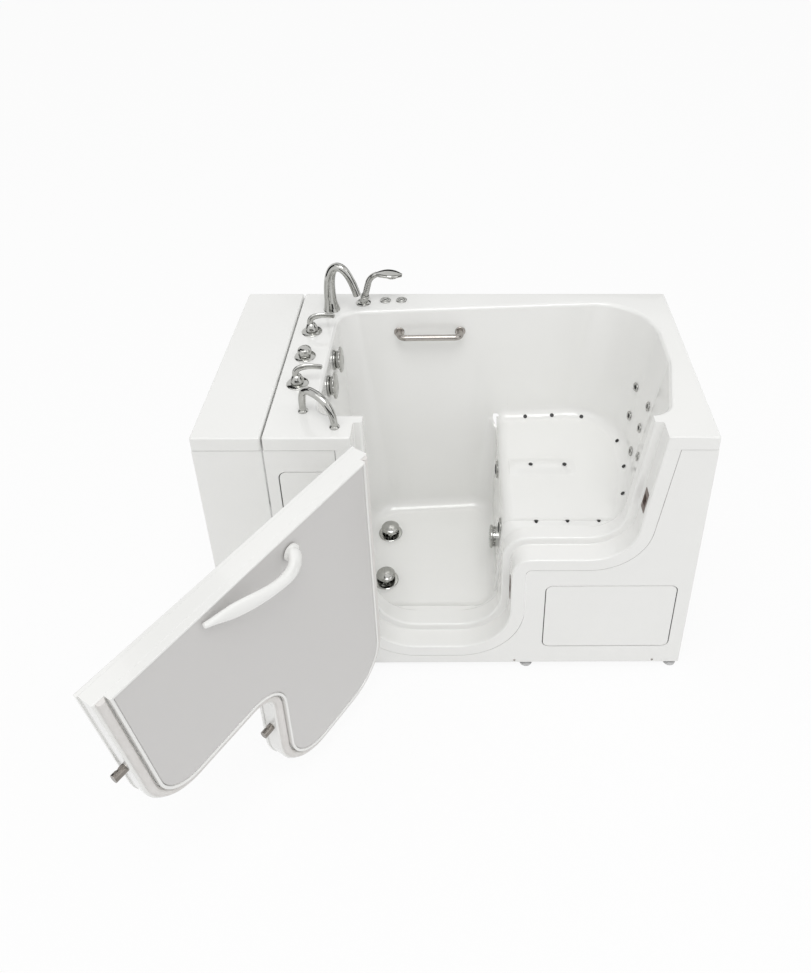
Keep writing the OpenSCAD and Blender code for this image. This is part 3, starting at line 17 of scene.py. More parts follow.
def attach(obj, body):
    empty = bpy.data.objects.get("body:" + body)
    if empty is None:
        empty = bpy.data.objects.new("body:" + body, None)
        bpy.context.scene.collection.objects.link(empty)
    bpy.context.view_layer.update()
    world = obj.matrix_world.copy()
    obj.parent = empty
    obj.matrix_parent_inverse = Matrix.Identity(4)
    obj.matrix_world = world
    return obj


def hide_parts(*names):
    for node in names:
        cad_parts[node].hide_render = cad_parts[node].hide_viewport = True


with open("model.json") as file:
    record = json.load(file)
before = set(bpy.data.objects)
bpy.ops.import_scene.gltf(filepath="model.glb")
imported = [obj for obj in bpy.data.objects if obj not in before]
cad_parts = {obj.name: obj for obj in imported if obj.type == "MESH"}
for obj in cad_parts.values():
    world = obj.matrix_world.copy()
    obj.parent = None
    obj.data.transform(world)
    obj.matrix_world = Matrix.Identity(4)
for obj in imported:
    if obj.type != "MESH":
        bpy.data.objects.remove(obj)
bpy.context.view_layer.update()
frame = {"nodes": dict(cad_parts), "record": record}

scene = bpy.context.scene
record = frame["record"]

# %% [markdown]
# Every length below is in millimetres on the tub: X runs along it, Y from its
# front to its back and Z up from the floor. Blender works in metres from the
# middle of the tub, so one small function does the change.

# %% Sizes of the tub
LENGTH, DEPTH, DECK_H = 1524.0, 813.0, 1016.0
EXTENSION, LIP, SHELL, SEAM = 203.0, 46.0, 7.0, 3.0
SEAT_H, FLOOR_H = 540.0, 120.0


def place(x, y, z):
    """A point on the tub, in millimetres, as a point in Blender."""
    return Vector(((x - LENGTH / 2) / 1000, (y - DEPTH / 2) / 1000, z / 1000))


MILLIMETRES = Matrix.Translation((-LENGTH / 2000, -DEPTH / 2000, 0)) @ Matrix.Scale(0.001, 4)
print("deck corner at", [round(v, 3) for v in place(LENGTH, 0, DECK_H)])

# %% [markdown]
# The camera stands high in front of the tub and a little left of its middle.
# Its place, tilt and lens were fitted to the straight edges of the deck, and a
# small shift puts the tub where it belongs in the picture.

# %% Camera
CAMERA_AT = Vector((0.01647, -2.2957, 2.60947))
PITCH, YAW, ROLL = 0.52894, 0.01253, 0.00624
FOCAL_PX, TALL_PX, WIDE_PX = 853.70, 973.0, 811.0
CENTRE_PX = (471.03, 290.0)

camera_data = bpy.data.cameras.new("camera")
camera = bpy.data.objects.new("camera", camera_data)
scene.collection.objects.link(camera)
forward = Vector((sin(YAW) * cos(PITCH), cos(YAW) * cos(PITCH), -sin(PITCH)))
level = Vector((cos(YAW), -sin(YAW), 0))
upward = level.cross(forward)
right = level * cos(ROLL) + upward * sin(ROLL)
top = upward * cos(ROLL) - level * sin(ROLL)
turn = Matrix((right, top, -forward)).transposed().to_4x4()
camera.matrix_world = Matrix.Translation(CAMERA_AT) @ turn
camera_data.sensor_fit = "AUTO"
camera_data.sensor_width = 36.0
camera_data.lens = FOCAL_PX / TALL_PX * camera_data.sensor_width
camera_data.shift_x = (WIDE_PX / 2 - CENTRE_PX[0]) / TALL_PX
camera_data.shift_y = (CENTRE_PX[1] - TALL_PX / 2) / TALL_PX
camera_data.clip_end = 50.0
scene.camera = camera
print("lens in millimetres:", round(camera_data.lens, 2))

# %% [markdown]
# White acrylic needs an even, soft light: too much and its curves burn out, too
# little and they turn grey. The world fills the shadows, a large lamp high above
# reaches down into the footwell, two nearer ones shape the curves, and rays from the camera, and those reflected by
# metal, see a plain white room.

# %% Light
scene.view_settings.view_transform = "Standard"


def white_to_eye(tree, plain, share):
    """Mixes plain with white light for camera, glossy and transmission rays."""
    path = tree.nodes.new("ShaderNodeLightPath")
    either = tree.nodes.new("ShaderNodeMath")
    either.operation = "MAXIMUM"
    tree.links.new(path.outputs["Is Camera Ray"], either.inputs[0])
    tree.links.new(path.outputs["Is Glossy Ray"], either.inputs[1])
    third = tree.nodes.new("ShaderNodeMath")
    third.operation = "MAXIMUM"
    tree.links.new(either.outputs[0], third.inputs[0])
    tree.links.new(path.outputs["Is Transmission Ray"], third.inputs[1])
    amount = tree.nodes.new("ShaderNodeMath")
    amount.operation = "MULTIPLY"
    amount.inputs[1].default_value = share
    tree.links.new(third.outputs[0], amount.inputs[0])
    mix = tree.nodes.new("ShaderNodeMixShader")
    tree.links.new(amount.outputs[0], mix.inputs[0])
    tree.links.new(plain.outputs[0], mix.inputs[1])
    return mix


def studio_world(strength):
    world = bpy.data.worlds.new("studio")
    scene.world = world
    world.use_nodes = True
    tree = world.node_tree
    tree.nodes.clear()
    out = tree.nodes.new("ShaderNodeOutputWorld")
    lit = tree.nodes.new("ShaderNodeBackground")
    lit.inputs["Color"].default_value = (1, 1, 1, 1)
    lit.inputs["Strength"].default_value = strength
    seen = tree.nodes.new("ShaderNodeBackground")
    seen.inputs["Color"].default_value = (1, 1, 1, 1)
    seen.inputs["Strength"].default_value = 1.0
    mix = white_to_eye(tree, lit, 1.0)
    tree.links.new(seen.outputs[0], mix.inputs[2])
    tree.links.new(mix.outputs[0], out.inputs["Surface"])


def soft_lamp(name, at, target, size, power):
    data = bpy.data.lights.new(name, "AREA")
    data.shape = "RECTANGLE"
    data.size, data.size_y = size
    data.energy = power
    lamp = bpy.data.objects.new(name, data)
    scene.collection.objects.link(lamp)
    lamp.location = at
    lamp.rotation_mode = "QUATERNION"
    lamp.rotation_quaternion = (Vector(target) - Vector(at)).to_track_quat("-Z", "Y")
    return lamp


studio_world(0.645)
soft_lamp("sky_lamp", (0.6, -4.4, 10.2), (0.1, 0, 0.5), (4.5, 4.5), 300)
soft_lamp("key_lamp", (-1.6, -1.8, 3.6), (0, 0, 0.6), (1.6, 1.6), 7.5)
soft_lamp("fill_lamp", (2.4, -1.2, 2.8), (0, 0, 0.5), (1.8, 1.8), 6)

# %% [markdown]
# The floor is a plain pale sheet. It looks white to the camera and still takes
# a soft shadow from the tub, because a part of it stays an ordinary surface.

# %% Floor
bpy.ops.object.select_all(action="DESELECT")
bpy.ops.mesh.primitive_plane_add(size=24, location=(0, 0, 0))
studio_floor = bpy.context.object
studio_floor.name = "studio_floor"
pale = bpy.data.materials.new("pale_floor")
pale.use_nodes = True
floor_tree = pale.node_tree
floor_plain = floor_tree.nodes["Principled BSDF"]
floor_plain.inputs["Base Color"].default_value = (0.92, 0.92, 0.92, 1)
floor_plain.inputs["Roughness"].default_value = 0.9
floor_mix = white_to_eye(floor_tree, floor_plain, 0.9)
floor_glow = floor_tree.nodes.new("ShaderNodeEmission")
floor_tree.links.new(floor_glow.outputs[0], floor_mix.inputs[2])
floor_tree.links.new(floor_mix.outputs[0], floor_tree.nodes["Material Output"].inputs["Surface"])
studio_floor.data.materials.append(pale)
print("floor ready")

# %% [markdown]
# Polished chrome only looks like chrome when it has something dark to reflect.
# Studios stand dark cards beside it. These are seen by reflections alone, so
# they cast no shadow and never show in the picture.

# %% Dark cards for the chrome
card_finish = bpy.data.materials.new("dark_card")
card_finish.use_nodes = True
card_finish.node_tree.nodes["Principled BSDF"].inputs["Base Color"].default_value = (0.02, 0.02, 0.02, 1)
card_finish.node_tree.nodes["Principled BSDF"].inputs["Roughness"].default_value = 1.0


def dark_card(name, at, target, size):
    bpy.ops.object.select_all(action="DESELECT")
    bpy.ops.mesh.primitive_plane_add(size=1, location=at)
    card = bpy.context.object
    card.name = name
    card.scale = (size[0], size[1], 1)
    card.rotation_mode = "QUATERNION"
    card.rotation_quaternion = (Vector(target) - Vector(at)).to_track_quat("Z", "Y")
    card.data.materials.append(card_finish)
    card.visible_camera = False
    card.visible_diffuse = False
    card.visible_shadow = False
    card.visible_transmission = False
    card.visible_volume_scatter = False
    return card


dark_card("card_left", (-3.0, 0.4, 1.7), (0, 0, 0.9), (1.8, 3.2))
dark_card("card_right", (3.2, -0.2, 1.8), (0, 0, 0.9), (1.7, 3.0))
dark_card("card_back", (0.3, 3.2, 1.9), (0, 0, 1.0), (3.4, 1.3))
dark_card("card_front", (-0.4, -3.4, 1.1), (0, 0, 1.0), (4.2, 0.8))
dark_card("card_low_left", (-1.5, -2.5, 0.5), (-0.5, 0, 0.8), (1.3, 0.9))
dark_card("card_low_right", (1.2, -2.7, 0.5), (0, 0, 0.8), (1.5, 0.9))
dark_card("card_above_left", (-1.5, 0.9, 3.6), (-0.4, 0, 1.0), (0.7, 2.6))
dark_card("card_above_right", (1.2, 1.2, 3.8), (0, 0, 1.0), (0.5, 2.4))
print("cards ready")
# %% [markdown]
# The finishes come next. Moulded acrylic, rubber, brushed steel and chrome are
# all slightly uneven, and that unevenness is what makes them look real. It is
# built once, as node groups, and every material uses it with its own values.

# %% Node groups shared by the finishes
def new_group(name, inputs, outputs):
    group = bpy.data.node_groups.new(name, "ShaderNodeTree")
    for label, kind, value in inputs:
        socket = group.interface.new_socket(label, in_out="INPUT", socket_type=kind)
        if value is not None:
            socket.default_value = value
    for label, kind in outputs:
        group.interface.new_socket(label, in_out="OUTPUT", socket_type=kind)
    return group, group.nodes.new("NodeGroupInput"), group.nodes.new("NodeGroupOutput")


def uneven_tone():
    """Two tones and two gloss levels, blended by soft clouds."""
    group, into, out = new_group(
        "uneven_tone",
        [("Vector", "NodeSocketVector", None), ("Size", "NodeSocketFloat", 4.0),
         ("Tone A", "NodeSocketColor", None), ("Tone B", "NodeSocketColor", None),
         ("Gloss A", "NodeSocketFloat", 0.15), ("Gloss B", "NodeSocketFloat", 0.2)],
        [("Color", "NodeSocketColor"), ("Roughness", "NodeSocketFloat")])
    clouds = group.nodes.new("ShaderNodeTexNoise")
    clouds.inputs["Detail"].default_value = 3.0
    group.links.new(into.outputs["Vector"], clouds.inputs["Vector"])
    group.links.new(into.outputs["Size"], clouds.inputs["Scale"])
    spread = group.nodes.new("ShaderNodeMapRange")
    spread.interpolation_type = "SMOOTHSTEP"
    spread.inputs["From Min"].default_value = 0.2
    spread.inputs["From Max"].default_value = 0.8
    group.links.new(clouds.outputs["Fac"], spread.inputs["Value"])
    tone = group.nodes.new("ShaderNodeMix")
    tone.data_type = "RGBA"
    group.links.new(spread.outputs["Result"], tone.inputs["Factor"])
    group.links.new(into.outputs["Tone A"], tone.inputs["A"])
    group.links.new(into.outputs["Tone B"], tone.inputs["B"])
    gloss = group.nodes.new("ShaderNodeMapRange")
    group.links.new(spread.outputs["Result"], gloss.inputs["Value"])
    group.links.new(into.outputs["Gloss A"], gloss.inputs["To Min"])
    group.links.new(into.outputs["Gloss B"], gloss.inputs["To Max"])
    group.links.new(tone.outputs["Result"], out.inputs["Color"])
    group.links.new(gloss.outputs["Result"], out.inputs["Roughness"])
    return group


def fine_relief():
    """A height for the Bump node: fine grain over slow waves."""
    group, into, out = new_group(
        "fine_relief",
        [("Vector", "NodeSocketVector", None), ("Grain Size", "NodeSocketFloat", 300.0),
         ("Wave Size", "NodeSocketFloat", 20.0), ("Wave Share", "NodeSocketFloat", 0.5)],
        [("Height", "NodeSocketFloat")])
    grain = group.nodes.new("ShaderNodeTexNoise")
    grain.inputs["Detail"].default_value = 2.0
    group.links.new(into.outputs["Vector"], grain.inputs["Vector"])
    group.links.new(into.outputs["Grain Size"], grain.inputs["Scale"])
    waves = group.nodes.new("ShaderNodeTexNoise")
    waves.inputs["Detail"].default_value = 1.0
    group.links.new(into.outputs["Vector"], waves.inputs["Vector"])
    group.links.new(into.outputs["Wave Size"], waves.inputs["Scale"])
    blend = group.nodes.new("ShaderNodeMix")
    group.links.new(into.outputs["Wave Share"], blend.inputs["Factor"])
    group.links.new(grain.outputs["Fac"], blend.inputs["A"])
    group.links.new(waves.outputs["Fac"], blend.inputs["B"])
    group.links.new(blend.outputs["Result"], out.inputs["Height"])
    return group


UNEVEN_TONE, FINE_RELIEF = uneven_tone(), fine_relief()
print("groups:", [g.name for g in bpy.data.node_groups])

# %% [markdown]
# One function lays out a finish: its two tones and gloss levels, its relief and
# how far that relief is stretched. Brushed steel is the same noise as moulded
# plastic, only pulled out along one direction.

# %% A finish from its tones, gloss and relief
def finish_of(name, tones, gloss, size=4.0, metal=0.0, coat=0.0, grain=300.0, waves=20.0,
              share=0.5, relief=0.02, stretch=(1, 1, 1), level=0.5):
    material = bpy.data.materials.new(name)
    material.use_nodes = True
    tree = material.node_tree
    shader = tree.nodes["Principled BSDF"]
    shader.inputs["Metallic"].default_value = metal
    shader.inputs["Coat Weight"].default_value = coat
    shader.inputs["Coat Roughness"].default_value = 0.04
    shader.inputs["Specular IOR Level"].default_value = level
    where = tree.nodes.new("ShaderNodeTexCoord")
    pull = tree.nodes.new("ShaderNodeMapping")
    pull.inputs["Scale"].default_value = stretch
    tree.links.new(where.outputs["Object"], pull.inputs["Vector"])
    tone = tree.nodes.new("ShaderNodeGroup")
    tone.node_tree = UNEVEN_TONE
    tone.inputs["Size"].default_value = size
    tone.inputs["Tone A"].default_value = (*tones[0], 1)
    tone.inputs["Tone B"].default_value = (*tones[1], 1)
    tone.inputs["Gloss A"].default_value, tone.inputs["Gloss B"].default_value = gloss
    tree.links.new(pull.outputs["Vector"], tone.inputs["Vector"])
    tree.links.new(tone.outputs["Color"], shader.inputs["Base Color"])
    tree.links.new(tone.outputs["Roughness"], shader.inputs["Roughness"])
    bumps = tree.nodes.new("ShaderNodeGroup")
    bumps.node_tree = FINE_RELIEF
    bumps.inputs["Grain Size"].default_value = grain
    bumps.inputs["Wave Size"].default_value = waves
    bumps.inputs["Wave Share"].default_value = share
    tree.links.new(pull.outputs["Vector"], bumps.inputs["Vector"])
    bump = tree.nodes.new("ShaderNodeBump")
    bump.inputs["Strength"].default_value = relief
    bump.inputs["Distance"].default_value = 0.001
    tree.links.new(bumps.outputs["Height"], bump.inputs["Height"])
    tree.links.new(bump.outputs["Normal"], shader.inputs["Normal"])
    return material


def warm(value, shift=0.0):
    """A nearly neutral tone, a little warmer where shift is above zero."""
    return (value + shift, value, value - shift)


FINISH = {
    "acrylic": finish_of("acrylic", ((0.906, 0.906, 0.888), (0.894, 0.893, 0.874)), (0.12, 0.2),
                         coat=0.35, grain=260, waves=9, share=0.8, relief=0.03),
    "door_grey": finish_of("door_grey", (warm(0.655, 0.01), warm(0.648, 0.012)), (0.28, 0.3),
                           size=2.4, coat=0.0, grain=700, waves=12, share=0.6, relief=0.01),
    "seal": finish_of("seal", (warm(0.8, 0.02), warm(0.74, 0.025)), (0.55, 0.68),
                      size=30, grain=900, waves=120, share=0.3, relief=0.35),
    "frame_steel": finish_of("frame_steel", (warm(0.46), warm(0.52)), (0.3, 0.42), size=22,
                             metal=1, grain=600, waves=90, share=0.4, relief=0.2, stretch=(1, 6, 1)),
    "stainless": finish_of("stainless", (warm(0.38, 0.025), warm(0.45, 0.025)), (0.18, 0.28), size=14,
                           metal=1, grain=500, waves=60, share=0.2, relief=0.12, stretch=(0.25, 4, 4)),
    "chrome": finish_of("chrome", ((0.45, 0.45, 0.43), (0.51, 0.51, 0.49)), (0.05, 0.12), size=60, metal=1,
                        grain=500, waves=40, share=0.6, relief=0.02),
    "brass": finish_of("brass", ((0.60, 0.42, 0.17), (0.54, 0.36, 0.14)), (0.22, 0.36), size=40,
                       metal=1, grain=500, waves=80, share=0.5, relief=0.15),
    "dark_plastic": finish_of("dark_plastic", (warm(0.016), warm(0.024)), (0.32, 0.45), size=30,
                              grain=900, waves=60, share=0.2, relief=0.2),
    "strike_plastic": finish_of("strike_plastic", ((0.17, 0.13, 0.115), (0.21, 0.17, 0.15)),
                                (0.4, 0.55), size=50, grain=800, waves=90, share=0.3, relief=0.3),
    "pipe": finish_of("pipe", (warm(0.72, 0.01), warm(0.68, 0.015)), (0.3, 0.42), size=16,
                      grain=400, waves=40, share=0.4, relief=0.08),
    "timber": finish_of("timber", ((0.46, 0.31, 0.17), (0.34, 0.215, 0.11)), (0.55, 0.75), size=10,
                        grain=160, waves=40, share=0.5, relief=0.5, stretch=(1, 9, 9)),
    "machine": finish_of("machine", (warm(0.03), warm(0.045)), (0.4, 0.55), size=20,
                         grain=700, waves=60, share=0.3, relief=0.3),
    "foot_rubber": finish_of("foot_rubber", (warm(0.62), warm(0.56)), (0.55, 0.75), size=40,
                             grain=900, waves=100, share=0.3, relief=0.4),
}
slot_of = {part["node"]: part["material_slot"] for part in record["subparts"]}
print(len(FINISH), "finishes for", len(slot_of), "nodes")

# %% [markdown]
# Pieces that the camera hardly sees, such as the pump, keep their CAD shape.
# All that they need is the finish of the real thing.

# %% Finishes on the CAD nodes
for node_name, node_object in frame["nodes"].items():
    node_object.data.materials.clear()
    node_object.data.materials.append(FINISH[slot_of[node_name]])
print("dressed", len(frame["nodes"]), "nodes")
# %% [markdown]
# Most of the tub is a skin drawn over a row of outlines: the basin, the door's
# edge, the pipes and the taps. So the main helper starts from a filled circle
# in edit mode, extrudes it once for each outline and moves the new points.

# %% Helper: a body from a row of outlines
def only(piece):
    bpy.ops.object.select_all(action="DESELECT")
    bpy.context.view_layer.objects.active = piece
    piece.select_set(True)


def loft(name, rings, closed=False):
    """A closed body through rings of Blender points, all with the same count."""
    count = len(rings[0])
    bpy.ops.object.select_all(action="DESELECT")
    bpy.ops.mesh.primitive_circle_add(vertices=count, radius=1,
                                      fill_type="NOTHING" if closed else "NGON")
    piece = bpy.context.object
    piece.name = name
    piece.data.name = name
    piece.matrix_world = Matrix.Identity(4)
    bpy.ops.object.mode_set(mode="EDIT")
    mesh = bmesh.from_edit_mesh(piece.data)
    mesh.verts.ensure_lookup_table()
    for vertex, point in zip(list(mesh.verts), rings[0]):
        vertex.co = point
    bmesh.update_edit_mesh(piece.data)
    for before, ring in zip(rings, rings[1:] + ([rings[0]] if closed else [])):
        bpy.ops.mesh.extrude_region()
        mesh = bmesh.from_edit_mesh(piece.data)
        nearest = KDTree(count)
        for index, point in enumerate(before):
            nearest.insert(point, index)
        nearest.balance()
        for vertex in [v for v in mesh.verts if v.select]:
            vertex.co = ring[nearest.find(vertex.co)[1]]
        bmesh.update_edit_mesh(piece.data)
    bpy.ops.mesh.select_all(action="SELECT")
    if closed:
        bpy.ops.mesh.remove_doubles(threshold=0.000001)
    bpy.ops.mesh.normals_make_consistent(inside=False)
    bpy.ops.object.mode_set(mode="OBJECT")
    return piece


def combine(piece, other, how):
    """Joins, cuts or trims piece by other, which is used up."""
    step = piece.modifiers.new("combine", "BOOLEAN")
    step.operation, step.solver, step.object = how, "EXACT", other
    only(piece)
    bpy.ops.object.modifier_apply(modifier=step.name)
    bpy.data.objects.remove(other, do_unlink=True)


def joined(name, pieces):
    """Several bodies as one object, as a CAD node is."""
    bpy.ops.object.select_all(action="DESELECT")
    for piece in pieces:
        piece.select_set(True)
    bpy.context.view_layer.objects.active = pieces[0]
    if len(pieces) > 1:
        bpy.ops.object.join()
    pieces[0].name = name
    pieces[0].data.name = name
    return pieces[0]


def clean(piece, angle=38, gap=0.00001):
    """Merges doubled points, smooths all but the sharp edges and keeps flats flat."""
    only(piece)
    bpy.ops.object.mode_set(mode="EDIT")
    bpy.ops.mesh.select_all(action="SELECT")
    bpy.ops.mesh.remove_doubles(threshold=gap)
    bpy.ops.object.mode_set(mode="OBJECT")
    bpy.ops.object.shade_smooth_by_angle(angle=radians(angle))
    step = piece.modifiers.new("weigh", "WEIGHTED_NORMAL")
    step.keep_sharp = True
    bpy.ops.object.modifier_apply(modifier=step.name)
    return piece


def soften(piece, width, steps=2, angle=35):
    """Rounds the sharp edges by width, in millimetres."""
    step = piece.modifiers.new("soften", "BEVEL")
    step.width, step.segments = width / 1000, steps
    step.limit_method, step.angle_limit = "ANGLE", radians(angle)
    only(piece)
    bpy.ops.object.modifier_apply(modifier=step.name)
    return piece


body_of = {node: body for body, nodes in record["behaviour"]["bodies"].items() for node in nodes}


def finished(piece, *nodes, slot=None, angle=38):
    """Gives a new piece its finish, its body and the CAD nodes it stands for."""
    clean(piece, angle)
    slot = slot or slot_of[nodes[0]]
    piece.data.materials.clear()
    piece.data.materials.append(FINISH[slot])
    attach(piece, body_of[nodes[0]])
    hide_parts(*nodes)
    print(piece.name, len(piece.data.polygons), "faces")
    return piece


# %% [markdown]
# The basin is one sheet of acrylic sucked into a mould. Its walls lean, so that
# it comes off the mould, and its corners are tangent arcs whose circles move
# with height. These functions give the circles of the seat and the footwell at
# any height, and the outline round them.

# %% Outlines of the basin
FOOT_SLOPE, REST_SLOPE, BACK_SLOPE, FRONT_SLOPE = radians(4.5), radians(10), radians(3.5), radians(1.5)
BASIN_LEFT, BASIN_RIGHT, BASIN_FRONT = EXTENSION + 142, LENGTH - 71, 110.0
BACK_LEFT, BACK_RIGHT = DEPTH - 126, DEPTH - 70
LAND, COVE = 27.0, 42.0
RISER = 459 + 478 - LAND + 2
ROUND_FL, ROUND_BL, ROUND_BR, ROUND_MR, ROUND_FR, ROUND_FOOT = 50.0, 75.0, 198.0, 150.0, 65.0, 28.0
FOOT_GROWTH, CORNER_GROWTH, HIP_IN, BULGE_Y = 0.12, 0.04, 43.0, 400.0
BACK_TURN = atan((BACK_RIGHT - BACK_LEFT) / (BASIN_RIGHT - ROUND_BR - BASIN_LEFT - ROUND_BL))


def back_at(x, z):
    return BACK_LEFT + (x - BASIN_LEFT - ROUND_BL) * tan(BACK_TURN) - (DECK_H - z) * tan(BACK_SLOPE)


def in_back(x, r, z):
    return (x, back_at(x, z) - r / cos(BACK_TURN), r)


def rest_x(z):
    return BASIN_RIGHT - (DECK_H - z) * tan(REST_SLOPE)


def riser_at(z):
    return RISER - (SEAT_H - z) * tan(FRONT_SLOPE)


def left_circles(z):
    down = DECK_H - z
    front, back = ROUND_FL + down * CORNER_GROWTH, ROUND_BL + down * CORNER_GROWTH
    left = BASIN_LEFT + down * tan(FOOT_SLOPE)
    return ((left + front, BASIN_FRONT + down * tan(FRONT_SLOPE) + front, front),
            in_back(left + back, back, z))


def seat_circles(z):
    front_left, back_left = left_circles(z)
    front = BASIN_FRONT + (DECK_H - z) * tan(FRONT_SLOPE)
    return [front_left, (rest_x(z) - HIP_IN - ROUND_FR, front + ROUND_FR, ROUND_FR),
            (rest_x(z) - ROUND_MR, BULGE_Y, ROUND_MR), in_back(rest_x(z) - ROUND_BR, ROUND_BR, z),
            back_left]


def foot_circles(z):
    front_left, back_left = left_circles(z)
    front = BASIN_FRONT + (DECK_H - z) * tan(FRONT_SLOPE)
    r = ROUND_FOOT + max(0, SEAT_H - z) * FOOT_GROWTH
    return [front_left, (riser_at(z) - r, front + r, r), in_back(riser_at(z) - r, r, z), back_left]


def outline_round(circles, grow, steps):
    """Points of the belt round a row of circles, in plan."""
    count = len(circles)
    facing = []
    for i, (x1, y1, r1) in enumerate(circles):
        x2, y2, r2 = circles[(i + 1) % count]
        apart = hypot(x2 - x1, y2 - y1)
        ux, uy = (x2 - x1) / apart, (y2 - y1) / apart
        s = (r1 - r2) / apart
        c = sqrt(max(0, 1 - s * s))
        facing.append(math.atan2(s * uy - c * ux, s * ux + c * uy))
    points = []
    for i, (x, y, r) in enumerate(circles):
        start, end = facing[i - 1], facing[i]
        while end < start:
            end += 2 * pi
        for k in range(steps[i] + 1):
            a = start + (end - start) * k / steps[i]
            points.append((x + (r + grow) * cos(a), y + (r + grow) * sin(a)))
    return points


print("seat outline:", len(outline_round(seat_circles(SEAT_H), 0, [12] * 5)), "points")

# %% [markdown]
# The doorway is an L: a tall leg beside the seat and a wide top above it. It is
# drawn once, as corners with a radius each, and grown or shrunk to give the
# band round it, the door, the seal and the raised rim.

# %% Outline of the doorway
JAMB, DOOR_W, LEG_W, THRESHOLD, SILL = 459.0, 914.0, 478.0, 103.0, 516.0
LEG_ROUND, NOSE_ROUND, HIP_ROUND, LEAN = 170.0, 65.0, 144.0, radians(7)
BAND, REBATE = 46.0, 70.0


def unit(v):
    size = hypot(*v)
    return (v[0] / size, v[1] / size)


def sides_at(points, i):
    before, here, after = points[i - 1], points[i], points[(i + 1) % len(points)]
    return (unit((here[0] - before[0], here[1] - before[1])),
            unit((after[0] - here[0], after[1] - here[1])))


def grown(points, g):
    """An outline moved outwards by g."""
    out = []
    for i, (x, y) in enumerate(points):
        a, b = sides_at(points, i)
        na, nb = (a[1], -a[0]), (b[1], -b[0])
        k = g / (1 + na[0] * nb[0] + na[1] * nb[1])
        out.append((x + k * (na[0] + nb[0]), y + k * (na[1] + nb[1])))
    return out


def rounded(points, radii, steps):
    """An outline with each corner rounded to its own radius."""
    out = []
    for i, (x, y) in enumerate(points):
        a, b = sides_at(points, i)
        r = radii[i]
        if r <= 0:
            out.append((x, y))
            continue
        bend = math.atan2(a[0] * b[1] - a[1] * b[0], a[0] * b[0] + a[1] * b[1])
        side = 1 if bend > 0 else -1
        inward = (-side * a[1], side * a[0])
        cx = x - a[0] * r * tan(abs(bend) / 2) + r * inward[0]
        cy = y - a[1] * r * tan(abs(bend) / 2) + r * inward[1]
        for k in range(steps + 1):
            w = bend * k / steps
            out.append((cx - r * (inward[0] * cos(w) - inward[1] * sin(w)),
                        cy - r * (inward[0] * sin(w) + inward[1] * cos(w))))
    return out


def edge_x(z):
    """Place of the doorway's leaning edge at height z."""
    return JAMB + DOOR_W - (DECK_H - z) * tan(LEAN)


def doorway(g, top, steps=14):
    """The doorway in X and Z, grown by g and open up to a height of top."""
    corners = [(JAMB, THRESHOLD), (JAMB + LEG_W, THRESHOLD), (JAMB + LEG_W, SILL),
               (edge_x(SILL), SILL), (edge_x(top - g), top - g), (JAMB, top - g)]
    radii = [LEG_ROUND + g, LEG_ROUND + g, NOSE_ROUND - g, HIP_ROUND + g, 0, 0]
    return rounded(grown(corners, g), radii, steps)


def doorway_body(name, stations, top, steps=14):
    """A body in the doorway's outline, through stations of depth and growth."""
    return loft(name, [[place(x, y, z) for x, z in doorway(g, top, steps)] for y, g in stations])


print("doorway outline:", len(doorway(0, DECK_H)), "points")

# %% [markdown]
# Now the shell itself. A potter would throw a wall of even thickness; here the
# outside of the basin is joined to the deck first, and the inside is then taken
# out of it, which gives the coves, the rolled rim and the doorway in one piece.

# %% The basin as a body
SEAT_STEPS, FOOT_STEPS = [12, 10, 14, 20, 12], [12, 12, 12, 12]
RIM_ROUND = 13.0


def quarter(steps, start=0):
    return [pi / 2 * k / steps for k in range(start, steps + 1)]


def basin_body(name, circles_at, low, high, steps, rim=0.0, grow=0.0, cove_steps=9):
    rings = []
    for a in quarter(cove_steps):
        z, g = low + COVE * (1 - cos(a)), grow - COVE * (1 - sin(a))
        rings.append([place(x, y, z) for x, y in outline_round(circles_at(z), g, steps)])
    if rim:
        for a in quarter(6):
            z, g = DECK_H - rim + rim * sin(a), grow + rim * (1 - cos(a))
            rings.append([place(x, y, z) for x, y in outline_round(circles_at(z), g, steps)])
        high, grow = DECK_H + 10, grow + rim
        rings.append([place(x, y, high) for x, y in outline_round(circles_at(DECK_H), grow, steps)])
    else:
        rings.append([place(x, y, high) for x, y in outline_round(circles_at(high), grow, steps)])
    return loft(name, rings)


def plate_ring(x0, y0, x1, y1, r, z, g=0.0, steps=6):
    points = []
    x0, y0, x1, y1, r = x0 - g, y0 - g, x1 + g, y1 + g, max(r + g, 0.5)
    for cx, cy, start in ((x1 - r, y0 + r, -90), (x1 - r, y1 - r, 0), (x0 + r, y1 - r, 90),
                          (x0 + r, y0 + r, 180)):
        for k in range(steps + 1):
            a = radians(start + 90 * k / steps)
            points.append(place(cx + r * cos(a), cy + r * sin(a), z))
    return points


def lipped_plate(name, x0, x1):
    """A deck plate with a turned-down lip and a rolled top edge."""
    roll = 7.0
    rings = [plate_ring(x0, 0, x1, DEPTH, 8, DECK_H - LIP + 2, g=-2),
             plate_ring(x0, 0, x1, DEPTH, 8, DECK_H - LIP + 0.6, g=-1.4),
             plate_ring(x0, 0, x1, DEPTH, 8, DECK_H - LIP, g=-0.6),
             plate_ring(x0, 0, x1, DEPTH, 8, DECK_H - LIP + 0.6, g=0)]
    rings = rings[2:]
    for a in quarter(4):
        rings.append(plate_ring(x0, 0, x1, DEPTH, 8, DECK_H - roll + roll * sin(a), g=-roll * (1 - cos(a))))
    plate = loft(name, rings)
    inside = (x0 + SHELL, SHELL, x1 - SHELL, DEPTH - SHELL, 3)
    hollow = loft("hollow", [plate_ring(*inside, DECK_H - LIP - 1), plate_ring(*inside, DECK_H - SHELL)])
    combine(plate, hollow, "DIFFERENCE")
    return plate


